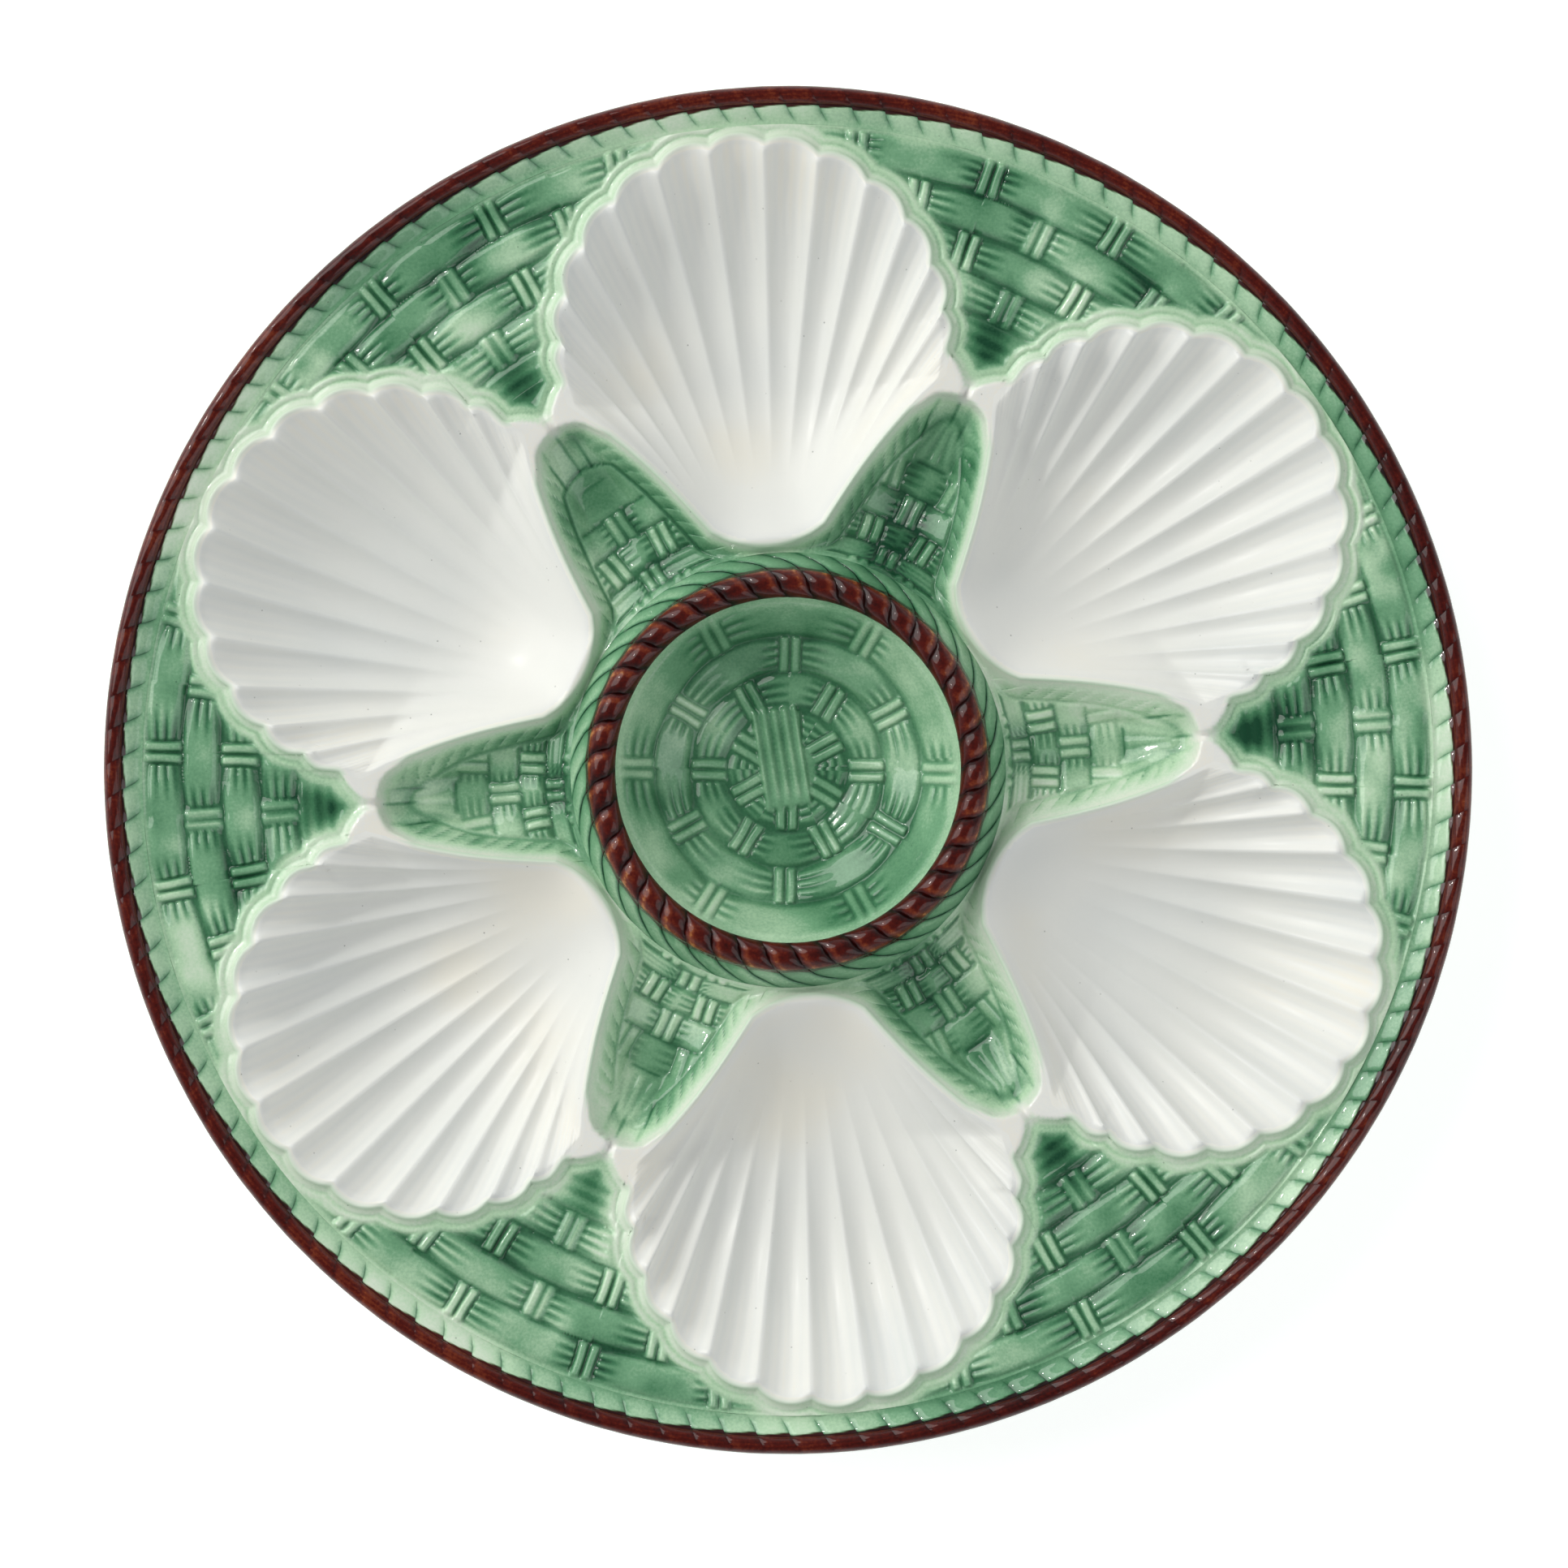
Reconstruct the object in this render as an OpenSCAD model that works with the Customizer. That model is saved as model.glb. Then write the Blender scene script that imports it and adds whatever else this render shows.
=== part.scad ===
// Oyster plate in glazed earthenware. Six scallop-shell wells lie round a raised dip bowl,
// on a basket-weave ground that a twisted rope border closes.
// The ware is one casting: each sub-part is one of its moulded members at full thickness,
// split along the lines where the relief and the glaze colours change.
// Origin at the middle of the table face, +Z up, one shell's axis along +Y.

/* [Plate] */
// Diameter over the rope rim
plate_d = 245; // [225:1:270]
// Height of the rope rim above the table
plate_h = 30; // [29:0.5:36]
// Thickness of the ware
wall = 5; // [4.4:0.1:5.5]

/* [Rope rim] */
// Width of the brown rope on the rim
rim_rope_w = 3.3; // [2.6:0.1:4]
// Width of the band of green strand ends inside it
rim_border_w = 3.5; // [2.8:0.1:4]
// Rise of the rim from the weave to the top of the rope
rim_rise = 3.4; // [2.6:0.1:4.2]
// Rise of the band from its inner edge to the rope
rim_border_rise = 1.9; // [1.2:0.1:2.2]
// Strands round the rim rope
rim_strands = 126; // [96:6:132]
// Depth of the grooves between two strands of the rim rope
rim_groove = 0.5; // [0.2:0.05:0.7]

/* [Shell wells] */
// Gap between a shell's tip and the band of strand ends
tip_gap = 1.2; // [0.8:0.1:2.5]
// Gap between a shell's root and the foot of the collar
root_gap = 1; // [0.8:0.1:2]
// Narrowest gap between two neighbouring shells
shell_gap = 7.35; // [5:0.05:10]
// Angle from the tip to the neck, about the fan's centre
neck_a = 106; // [98:1:108]
// Half the width of the root end
root_half = 10.5; // [9:0.5:12]
// Height of the root end's arc
root_rise = 3.3; // [2.5:0.1:4]
// How far the flanks draw in between root and neck
flank_draw = 1.2; // [0:0.1:2]
// Depth of the well below its lip
well_depth = 13; // [10:0.5:14]
// Height of the lip above the weave
lip_h = 1.4; // [1:0.1:2]
// Width of the lip
lip_w = 1.2; // [0.8:0.1:2]
// How much lower the lip lies at the root than at the tip
lip_fall = 7.5; // [5:0.5:8]
// Height of a ridge above the flute beside it
flute_h = 1.3; // [0.6:0.1:1.6]
// How far the lip bulges out at each flute
scallop = 1.3; // [0.4:0.1:1.6]

/* [Weave panels] */
// Sag of the outer panels, per length from shell to rim
outer_sag_share = 0.02; // [0:0.005:0.04]
// Sag of the inner panels, per length from collar to neck
inner_sag_share = 0.15; // [0.04:0.01:0.18]

/* [Dip bowl] */
// Radius of the bowl inside its rope
bowl_r = 31; // [27:0.5:32]
// Width of the rope round the bowl
bowl_rope_w = 5; // [4:0.1:6]
// How far the top of the bowl's rope lies below the rim
bowl_rope_drop = 2.2; // [1:0.1:4]
// Height of the rope's round top
bowl_rope_rise = 2.5; // [2:0.1:3]
// Strands round the bowl's rope
bowl_strands = 40; // [32:2:44]
// Depth of the grooves between two strands of the bowl's rope
bowl_groove = 0.7; // [0.3:0.05:0.9]
// Depth of the bowl below the top of its rope
bowl_depth = 15.5; // [12:0.5:16]
// Width of the sloping collar outside the rope
collar_w = 3.4; // [2.5:0.1:4.5]
// Height from the root lip down to the foot of the collar
collar_drop = 2; // [1:0.1:2.5]

/* [Foot] */
// Radius of the middle of the foot
foot_r = 60; // [54:0.5:66]
// Width of the foot
foot_w = 5; // [4:0.1:6]
// Height of the unglazed foot ring
foot_h = 2.4; // [1.8:0.1:3]
// Radius of the foot ring's lower edges
foot_edge = 0.8; // [0.4:0.1:1.2]

/* [Hidden] */

// Clearance under the ware, where the foot wall's own facets meet it
foot_seat = 0.2;

// Counts of the pattern and of the surface steps
SHELLS = 6;
FLUTES = 15;
HALF = FLUTES;
ROPE_STEPS = 4;
RIM_STEPS = 2;
ROPE_ARC = 4;
RIM_ARC = 3;
FOOT_STEPS = 180;
BOWL_STEPS = 16;
ROUND = 128;

// Rows of a shell from root to fan, and rows of the panels, as shares of their length
row_shares = [0, 0.03, 0.1, 0.25, 0.42, 0.6, 0.78, 0.9, 0.97, 1];
outer_row_shares = [0, 0.33, 0.67, 1];
inner_row_shares = [0, 0.5, 1];
// Where the flutes begin and where they have their full height, along the shell
flute_start_share = 0.2;
flute_full_share = 0.8;
// How the flutes widen from the axis to the flanks
flute_spread_share = 0.17;
// Powers of the curves of the well and of the bowl
well_power = 2.6;
root_power = 3;
bowl_power = 4;
// How far a strand leans forward from the rope's inner to its outer edge, as shares of its pitch
rope_lean_share = 0.8;
rim_lean_share = 0.35;
// How high the outer edge of the rim rope stands, as a share of the rope's width
rim_edge_share = 0.75;
// How thick the ware is under the bowl's rope, as a share of the wall
rope_wall_share = 1.2;

// Radii from the rim inwards
plate_r = plate_d / 2;
border_out_r = plate_r - rim_rope_w;
border_in_r = border_out_r - rim_border_w;
tip_r = border_in_r - tip_gap - scallop / 2;
fan_r = (tip_r * sin(180 / SHELLS) - shell_gap / 2) / (1 + sin(180 / SHELLS));
fan_c = tip_r - fan_r;
rope_out_r = bowl_r + bowl_rope_w;
collar_r = rope_out_r + collar_w;
root_r = collar_r + root_gap;
root_arc_r = (root_half * root_half + root_rise * root_rise) / (2 * root_rise);
root_a = asin(root_half / root_arc_r);

// Heights from the rim down
ground_tip_z = plate_h - rim_rise;
lip_tip_z = ground_tip_z + lip_h;
lip_root_z = lip_tip_z - lip_fall;
collar_z = lip_root_z - collar_drop;
rope_top_z = plate_h - bowl_rope_drop;
rope_edge_z = rope_top_z - bowl_rope_rise;
rope_under_z = rope_edge_z - wall * rope_wall_share;
bowl_floor_z = rope_top_z - bowl_depth;
rim_edge_z = plate_h - rim_rope_w * rim_edge_share;
rim_under_z = lip_tip_z - wall;

// Height of the shells' lips, which rise steadily from root to tip, at radius r
function lip_z(r) = lip_root_z + (r - root_r) * lip_fall / (tip_r - root_r);

// Position at share t from a to b
function mix(a, b, t) = a + (b - a) * t;
// Share of the way from lo to hi, eased at both ends
function ease(x, lo, hi) =
    let (t = min(1, max(0, (x - lo) / (hi - lo)))) t * t * (3 - 2 * t);
// Plate position of a point in shell k's own frame: u to its right, v out along its axis
function shell_angle(k) = 90 + 360 / SHELLS * k;
function place(p, k) =
    let (a = shell_angle(k)) [p[1] * cos(a) + p[0] * sin(a), p[1] * sin(a) - p[0] * cos(a)];
function polar(r, a) = [r * cos(a), r * sin(a)];

// Outline of a shell in its own frame. Column c runs from -HALF to HALF: even columns are the
// middles of flutes and odd ones the ridges between them.
function fan_a(c) =
    let (t = c / HALF) neck_a * t * (1 + flute_spread_share * (1 - pow(t, 4)));
function bulge(c) = abs(c) == HALF ? 0 : (c % 2 == 0 ? scallop / 2 : -scallop / 2);
function fan_point(c, out) =
    let (r = fan_r + out, a = fan_a(c)) [r * sin(a), fan_c + r * cos(a)];
function root_point(c) =
    let (a = root_a * c / HALF) [root_arc_r * sin(a), root_r + root_arc_r * (1 - cos(a))];
neck = fan_point(HALF, 0);
corner = root_point(HALF);
flank_dir = (neck - corner) / norm(neck - corner);
// Middle of the bridge between two shells' necks
bridge = norm(neck) * [sin(180 / SHELLS), cos(180 / SHELLS)];
// Point of a shell at column c and share s of the way from root to fan
function shell_point(c, s) =
    let (draw = flank_draw * sin(180 * s) / HALF)
    mix(root_point(c), fan_point(c, bulge(c) * s), s)
    + draw * [-flank_dir[1] * c, flank_dir[0] * abs(c)];

flank = [for (s = row_shares) shell_point(HALF, s)];
flank_widths = [for (p = flank) [p[1], p[0]]];
flank_radii = [for (p = flank) [atan2(p[0], p[1]), norm(p)]];

// Depth of the smooth well below the lip at (u, v)
function half_width(v) = v > neck[1] ? sqrt(fan_r * fan_r - pow(v - fan_c, 2))
                                     : lookup(v, flank_widths);
function well_edge(u, v) = v > fan_c ? norm([u, v - fan_c]) / fan_r : abs(u) / half_width(v);
function depth_at(u, v) =
    let (lip_share = 1 - lip_w / fan_r,
         side = well_edge(u, v) / lip_share,
         back = max(0, (fan_c - v) / (fan_c - root_r)) / lip_share)
    well_depth * max(0, 1 - pow(side, well_power)) * max(0, 1 - pow(back, root_power));

// Height of the ware's underside at radius r and angle a, for the foot, which crosses the wells
// and the inner panels
function under_z(r, a) =
    let (pitch = 360 / SHELLS,
         turn = (a - shell_angle(0)) / pitch,
         off = abs(turn - round(turn)) * pitch,
         u = r * sin(off),
         v = r * cos(off),
         out_r = lookup(off, flank_radii))
    u < half_width(v) ? lip_z(r) - wall - depth_at(u, v)
                      : panel_z(r, collar_r, out_r, lip_root_z - wall, lip_z(out_r) - wall,
                                inner_sag_share);

// Height of a panel at radius r, between its edges at radii r0 and r1 and heights z0 and z1
function panel_z(r, r0, r1, z0, z1, sag) =
    let (q = (r - r0) / (r1 - r0)) mix(z0, z1, q) - 4 * q * (1 - q) * sag * abs(r1 - r0);

// Closed tile between two grids of points, top and bottom, with the same steps. Columns run
// clockwise seen from above and rows outwards.
module tile(top, bottom) {
    nc = len(top);
    nr = len(top[0]);
    all = nc * nr;
    points = [for (grid = [top, bottom]) for (column = grid) for (p = column) p];
    function at(c, r, side) = side * all + c * nr + r;
    faces = [
        for (c = [0:nc - 2]) for (r = [0:nr - 2])
            each [[at(c, r, 0), at(c, r + 1, 0), at(c + 1, r + 1, 0)],
                  [at(c, r, 0), at(c + 1, r + 1, 0), at(c + 1, r, 0)],
                  [at(c, r, 1), at(c + 1, r + 1, 1), at(c, r + 1, 1)],
                  [at(c, r, 1), at(c + 1, r, 1), at(c + 1, r + 1, 1)]],
        for (c = [0:nc - 2])
            each [[at(c, 0, 0), at(c + 1, 0, 0), at(c + 1, 0, 1)],
                  [at(c, 0, 0), at(c + 1, 0, 1), at(c, 0, 1)],
                  [at(c, nr - 1, 0), at(c + 1, nr - 1, 1), at(c + 1, nr - 1, 0)],
                  [at(c, nr - 1, 0), at(c, nr - 1, 1), at(c + 1, nr - 1, 1)]],
        for (r = [0:nr - 2])
            each [[at(0, r, 0), at(0, r + 1, 1), at(0, r + 1, 0)],
                  [at(0, r, 0), at(0, r, 1), at(0, r + 1, 1)],
                  [at(nc - 1, r, 0), at(nc - 1, r + 1, 0), at(nc - 1, r + 1, 1)],
                  [at(nc - 1, r, 0), at(nc - 1, r + 1, 1), at(nc - 1, r, 1)]]
    ];
    polyhedron(points, faces);
}

// Closed ring round the plate's axis. Section point j at step i is sections[i][j], as radius,
// height and turn, and the section's points run anticlockwise seen along the ring.
module ring(sections) {
    n = len(sections);
    m = len(sections[0]);
    points = [for (i = [0:n - 1]) for (p = sections[i])
        [p[0] * cos(p[2]), p[0] * sin(p[2]), p[1]]];
    faces = [for (i = [0:n - 1]) for (j = [0:m - 1])
        let (a = i * m + j,
             b = i * m + (j + 1) % m,
             c = (i + 1) % n * m + (j + 1) % m,
             d = (i + 1) % n * m + j)
        each [[a, b, c], [a, c, d]]];
    polyhedron(points, faces);
}

// One scallop-shell well, with its lip, flutes and curved floor
module shell_well(k) {
    columns = [-HALF:HALF];
    last = len(row_shares) - 1;
    function flute(c, s) =
        abs(c) == HALF ? 0
                       : (c % 2 == 0 ? -flute_h : flute_h) / 2
                         * ease(s, flute_start_share, flute_full_share);
    function depth(c, j, p) =
        abs(c) == HALF || j == 0 || j == last ? 0 : depth_at(p[0], p[1]);
    function lip_clear(c, j) = j == 0 || j >= last - 1 ? 0 : 1;
    function height(c, j, p) =
        lip_z(norm(p)) - depth(c, j, p) + lip_clear(c, j) * flute(c, row_shares[j]);
    function column(c, top) =
        [for (j = [0:last])
            let (p = shell_point(c, row_shares[j]), q = place(p, k))
            [q[0], q[1], top ? height(c, j, p) : lip_z(norm(p)) - depth(c, j, p) - wall]];
    color("#eef0ec")
        tile([for (c = columns) column(c, true)], [for (c = columns) column(c, false)]);
}

// Spandrel of weave between two shells and the rim
module outer_weave(k) {
    next = k + 1;
    edge = [for (c = [0:HALF]) [fan_point(c, bulge(c)), fan_point(c, 0), next],
            [bridge, bridge, next],
            for (c = [-HALF:0]) [fan_point(c, bulge(c)), fan_point(c, 0), k]];
    function column(e, drop) =
        let (a = place(e[0], e[2]),
             smooth = place(e[1], e[2]),
             b = polar(border_in_r, atan2(smooth[1], smooth[0])),
             ra = norm(a))
        [for (q = outer_row_shares)
            let (p = mix(a, b, q), r = mix(ra, border_in_r, q))
            [p[0], p[1], panel_z(r, ra, border_in_r, lip_z(ra) - drop,
                                 lip_tip_z - drop, outer_sag_share)]];
    color("#79b48f")
        tile([for (e = edge) column(e, lip_h)], [for (e = edge) column(e, wall)]);
}

// Sunk panel of weave between two shells' flanks and the collar
module inner_weave(k) {
    next = k + 1;
    last = len(row_shares) - 1;
    edge = [for (c = [0:HALF]) [root_point(c), next],
            for (j = [1:last]) [flank[j], next],
            [bridge, next],
            for (j = [last:-1:1]) [[-flank[j][0], flank[j][1]], k],
            for (c = [-HALF:0]) [root_point(c), k]];
    function column(e, foot_z, drop) =
        let (b = place(e[0], e[1]),
             a = polar(collar_r, atan2(b[1], b[0])),
             rb = norm(b))
        [for (q = inner_row_shares)
            let (p = mix(a, b, q), r = mix(collar_r, rb, q))
            [p[0], p[1], panel_z(r, collar_r, rb, foot_z, lip_z(rb) - drop,
                                 inner_sag_share)]];
    color("#3f8a63")
        tile([for (e = edge) column(e, collar_z, lip_h)],
             [for (e = edge) column(e, lip_root_z - wall, wall)]);
}

// Sloping green collar between the panels and the bowl's rope
module bowl_collar() {
    color("#4f9a70")
        rotate_extrude($fn = ROUND)
            polygon([[rope_out_r, rope_under_z], [collar_r, lip_root_z - wall],
                     [collar_r, collar_z], [rope_out_r, rope_edge_z]]);
}

// Twisted rope round the bowl
module bowl_rope() {
    steps = bowl_strands * ROPE_STEPS;
    turn = 360 / steps;
    mid_r = bowl_r + bowl_rope_w / 2;
    function groove(i) = bowl_groove * abs(i % ROPE_STEPS - ROPE_STEPS / 2) / (ROPE_STEPS / 2);
    function section(i) = [
        [bowl_r, rope_under_z, turn * i],
        [rope_out_r, rope_under_z, turn * (i + rope_lean_share * ROPE_STEPS)],
        for (j = [0:ROPE_ARC])
            let (a = 180 * j / ROPE_ARC,
                 cut = j == 0 || j == ROPE_ARC ? 0 : groove(i),
                 lean = rope_lean_share * ROPE_STEPS * (1 - j / ROPE_ARC))
            [mid_r + (bowl_rope_w / 2 - cut) * cos(a),
             rope_edge_z + (bowl_rope_rise - cut) * sin(a), turn * (i + lean)]
    ];
    color("#6b2016")
        ring([for (i = [0:steps - 1]) section(i)]);
}

// Round bowl for the dip, in the middle
module dip_bowl() {
    function curve(low, high) =
        [for (i = [0:BOWL_STEPS])
            let (t = i / BOWL_STEPS) [bowl_r * t, mix(low, high, pow(t, bowl_power))]];
    top = curve(bowl_floor_z, rope_edge_z);
    under = curve(bowl_floor_z - wall, rope_under_z);
    color("#79b48f")
        rotate_extrude($fn = ROUND)
            polygon(concat(under, [for (i = [BOWL_STEPS:-1:0]) top[i]]));
}

// Sloping band that carries the green strand ends
module rim_border() {
    border_top_z = ground_tip_z + rim_border_rise;
    color("#a4cdb0")
        rotate_extrude($fn = ROUND)
            polygon([[border_in_r, rim_under_z], [border_out_r, rim_under_z],
                     [border_out_r, border_top_z], [border_in_r, ground_tip_z]]);
}

// Twisted rope along the rim
module rim_rope() {
    steps = rim_strands * RIM_STEPS;
    turn = 360 / steps;
    mid_r = border_out_r + rim_rope_w / 2;
    edge_z = ground_tip_z + rim_border_rise;
    function section(i) = [
        [border_out_r, rim_under_z, turn * i],
        [plate_r, rim_edge_z, turn * (i + rim_lean_share * RIM_STEPS)],
        for (j = [1:RIM_ARC - 1])
            let (a = 180 * j / RIM_ARC,
                 cut = i % RIM_STEPS == 0 ? 0 : rim_groove)
            [mid_r + rim_rope_w / 2 * cos(a), plate_h - cut,
             turn * (i + rim_lean_share * RIM_STEPS * (1 - j / RIM_ARC))],
        [border_out_r, edge_z, turn * i]
    ];
    color("#5a1a12")
        ring([for (i = [0:steps - 1]) section(i)]);
}

// Glazed wall of the foot, up to the underside of the wells and panels
module foot_wall() {
    turn = 360 / FOOT_STEPS;
    in_r = foot_r - foot_w / 2;
    out_r = foot_r + foot_w / 2;
    function section(a) = [
        [in_r, foot_h, a], [out_r, foot_h, a],
        [out_r, under_z(out_r, a) - foot_seat, a], [in_r, under_z(in_r, a) - foot_seat, a]
    ];
    color("#a4cdb0")
        ring([for (i = [0:FOOT_STEPS - 1]) section(turn * i)]);
}

// Flat unglazed ring that the plate stands on
module foot_ring() {
    color("#d9cbb2")
        rotate_extrude($fn = ROUND)
            translate([foot_r, 0])
                difference() {
                    translate([-foot_w / 2, 0])
                        square([foot_w, foot_h]);
                    for (side = [-1, 1])
                        translate([side * foot_w / 2, 0])
                            rotate(45)
                                square(foot_edge * sqrt(2), center = true);
                }
}

shell_well(0);  // shell_well_1
shell_well(1);  // shell_well_2
shell_well(2);  // shell_well_3
shell_well(3);  // shell_well_4
shell_well(4);  // shell_well_5
shell_well(5);  // shell_well_6
outer_weave(0);  // outer_weave_1
outer_weave(1);  // outer_weave_2
outer_weave(2);  // outer_weave_3
outer_weave(3);  // outer_weave_4
outer_weave(4);  // outer_weave_5
outer_weave(5);  // outer_weave_6
inner_weave(0);  // inner_weave_1
inner_weave(1);  // inner_weave_2
inner_weave(2);  // inner_weave_3
inner_weave(3);  // inner_weave_4
inner_weave(4);  // inner_weave_5
inner_weave(5);  // inner_weave_6
bowl_collar();
bowl_rope();
dip_bowl();
rim_border();
rim_rope();
foot_wall();
foot_ring();
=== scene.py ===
# %% [markdown]
# # An oyster plate in coloured glazes
# The real object is one earthenware casting. Its whole look comes from relief under a
# translucent glaze: where the glaze lies thin, on ridges and lips, it is pale, and where it
# pools, in grooves and corners, it is dark. So this scene makes fine relief in mesh, and
# gives each point of it a "pool" value, which the glaze materials turn into colour.

import math

import bmesh
import bpy
import numpy as np
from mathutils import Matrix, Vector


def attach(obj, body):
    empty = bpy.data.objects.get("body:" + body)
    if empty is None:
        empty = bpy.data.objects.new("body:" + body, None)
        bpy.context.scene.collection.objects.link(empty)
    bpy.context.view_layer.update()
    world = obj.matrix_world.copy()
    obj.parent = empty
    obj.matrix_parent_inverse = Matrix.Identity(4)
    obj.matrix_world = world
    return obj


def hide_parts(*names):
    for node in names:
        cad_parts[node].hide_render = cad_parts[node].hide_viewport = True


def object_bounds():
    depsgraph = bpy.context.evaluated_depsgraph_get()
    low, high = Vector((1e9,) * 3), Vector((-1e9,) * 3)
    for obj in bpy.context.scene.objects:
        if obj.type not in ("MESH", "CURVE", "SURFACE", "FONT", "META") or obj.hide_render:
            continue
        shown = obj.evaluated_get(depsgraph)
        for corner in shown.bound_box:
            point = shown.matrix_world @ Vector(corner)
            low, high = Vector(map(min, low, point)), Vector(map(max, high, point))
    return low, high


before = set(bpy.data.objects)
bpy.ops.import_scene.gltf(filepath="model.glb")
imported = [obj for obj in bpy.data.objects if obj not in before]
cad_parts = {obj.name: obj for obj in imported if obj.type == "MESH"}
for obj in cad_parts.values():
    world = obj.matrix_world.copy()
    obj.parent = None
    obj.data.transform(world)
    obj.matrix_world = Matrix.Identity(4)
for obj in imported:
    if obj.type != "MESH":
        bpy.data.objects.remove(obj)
cad_low, cad_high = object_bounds()
MM = 0.001

# %% [markdown]
# ## Sizes
# All lengths are millimetres, and become metres only when a mesh is made. The plate's radius
# and height are read from the bounds of the solids in model.glb. The rest follows from them and
# from the widths, drops and rises that the solids have, so a shell here lies exactly where its
# solid lies.

# %% Sizes
plate_r = round(max(abs(v) for v in (*cad_low[:2], *cad_high[:2])) / MM, 1)
plate_h = round(cad_high[2] / MM, 1)
wall = 5.0
rim_rope_w, rim_border_w, rim_rise, rim_border_rise = 3.3, 3.5, 3.4, 1.9
tip_gap, root_gap, shell_gap = 1.2, 1.0, 7.35
neck_a, root_half, root_rise, flank_draw = 106.0, 10.5, 3.3, 1.2
well_depth, lip_h, lip_w, lip_fall = 13.0, 1.4, 1.2, 7.5
flute_h, scallop = 1.3, 1.3
outer_sag, inner_sag = 0.02, 0.15
bowl_r, bowl_rope_w, bowl_rope_drop, bowl_rope_rise = 31.0, 5.0, 2.2, 2.5
bowl_depth, collar_w, collar_drop = 15.5, 3.4, 2.0
SHELLS, FLUTES = 6, 15
RIM_STRANDS, BOWL_STRANDS = 126, 40
RIM_LEAN = 0.35
# The plate is turned by this many degrees on the photograph
PLATE_TURN = 4.7
# Degrees between two pairs of stakes, and how wide a ring of weave is outside and in the bowl
STAKE_STEP, RING_W, BOWL_RING_W = 12.667, 6.8, 6.6
# How much a lip's top is rounded off, over what width, and over what width its flank falls
LIP_ROUND, LIP_HALF, LIP_FLANK = 0.4, 0.6, 0.69

border_out_r = plate_r - rim_rope_w
border_in_r = border_out_r - rim_border_w
tip_r = border_in_r - tip_gap - scallop / 2
half_pitch = math.sin(math.pi / SHELLS)
fan_r = (tip_r * half_pitch - shell_gap / 2) / (1 + half_pitch)
fan_c = tip_r - fan_r
rope_out_r = bowl_r + bowl_rope_w
collar_r = rope_out_r + collar_w
root_r = collar_r + root_gap
root_arc_r = (root_half**2 + root_rise**2) / (2 * root_rise)
root_a = math.degrees(math.asin(root_half / root_arc_r))

ground_tip_z = plate_h - rim_rise
lip_tip_z = ground_tip_z + lip_h
lip_root_z = lip_tip_z - lip_fall
collar_z = lip_root_z - collar_drop
rope_top_z = plate_h - bowl_rope_drop
rope_edge_z = rope_top_z - bowl_rope_rise
rope_under_z = rope_edge_z - wall * 1.2
bowl_floor_z = rope_top_z - bowl_depth
border_top_z = ground_tip_z + rim_border_rise
rim_under_z = lip_tip_z - wall
rim_edge_z = plate_h - rim_rope_w * 0.75
print(f"plate {2 * plate_r:.1f} x {plate_h:.1f} mm, fan radius {fan_r:.2f} mm")


# %% [markdown]
# ## Helpers for curves and uneven hand work
# A hand-finished casting is never quite regular. `uneven` gives smooth seeded noise, the
# same on every run, which loosens the relief and the glaze a little.

# %% Helpers
def mix(a, b, t):
    return a + (b - a) * t


def ease(x, low, high):
    t = np.clip((x - low) / (high - low), 0, 1)
    return t * t * (3 - 2 * t)


def hump(x, width):
    return np.exp(-((x / width) ** 2))


def uneven(x, y, size, seed):
    """Smooth noise from -1 to 1 with blobs of about this size, in millimetres."""
    n = 64
    table = np.random.RandomState(seed).uniform(-1, 1, (n, n))
    gx, gy = x / size + 17.3, y / size + 9.1
    ix, iy = np.floor(gx).astype(int), np.floor(gy).astype(int)
    fx, fy = ease(gx - ix, 0, 1), ease(gy - iy, 0, 1)
    a, b, c, d = (table[(ix + i) % n, (iy + j) % n] for j in (0, 1) for i in (0, 1))
    return mix(mix(a, b, fx), mix(c, d, fx), fy)


def lip_z(r):
    return lip_root_z + (r - root_r) * lip_fall / (tip_r - root_r)


def shell_angle(k):
    return 90 + 360 / SHELLS * k


def turned(u, v, degrees):
    """Plate position of a point u to the right of an axis at this angle, and v out along it."""
    a = math.radians(degrees)
    return v * math.cos(a) + u * math.sin(a), v * math.sin(a) - u * math.cos(a)


def placed(points, k):
    """Plate positions of points given as (right of the axis, out along it) of shell k."""
    return np.stack(turned(points[:, 0], points[:, 1], shell_angle(k)), -1)


def swung(x, y, k):
    """Positions turned on by k sixths of the plate."""
    return turned(-y, x, 360 / SHELLS * k)


def rim_patches(x, y):
    """Where glaze lies thicker or thinner round the rim, from -1 to 1."""
    return uneven(x, y, 30, 91)


def picked(first, last, count):
    """At most count whole numbers, evenly spread from first to last."""
    return sorted(set(int(i) for i in np.linspace(first, last, count)))


def put(name, data):
    """An object in the scene."""
    made = bpy.data.objects.new(name, data)
    bpy.context.scene.collection.objects.link(made)
    return made


def near_path(x, y, path):
    """Distance from each point to a path, and how far along the path its nearest point is."""
    best = np.full(x.shape, 1e9)
    along = np.zeros(x.shape)
    done = 0.0
    for (ax, ay), (bx, by) in zip(path[:-1], path[1:]):
        dx, dy = bx - ax, by - ay
        length = max(math.hypot(dx, dy), 1e-9)
        t = np.clip(((x - ax) * dx + (y - ay) * dy) / length**2, 0, 1)
        d = np.hypot(x - ax - t * dx, y - ay - t * dy)
        closer = d < best
        best = np.where(closer, d, best)
        along = np.where(closer, done + t * length, along)
        done += length
    return best, along


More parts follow.
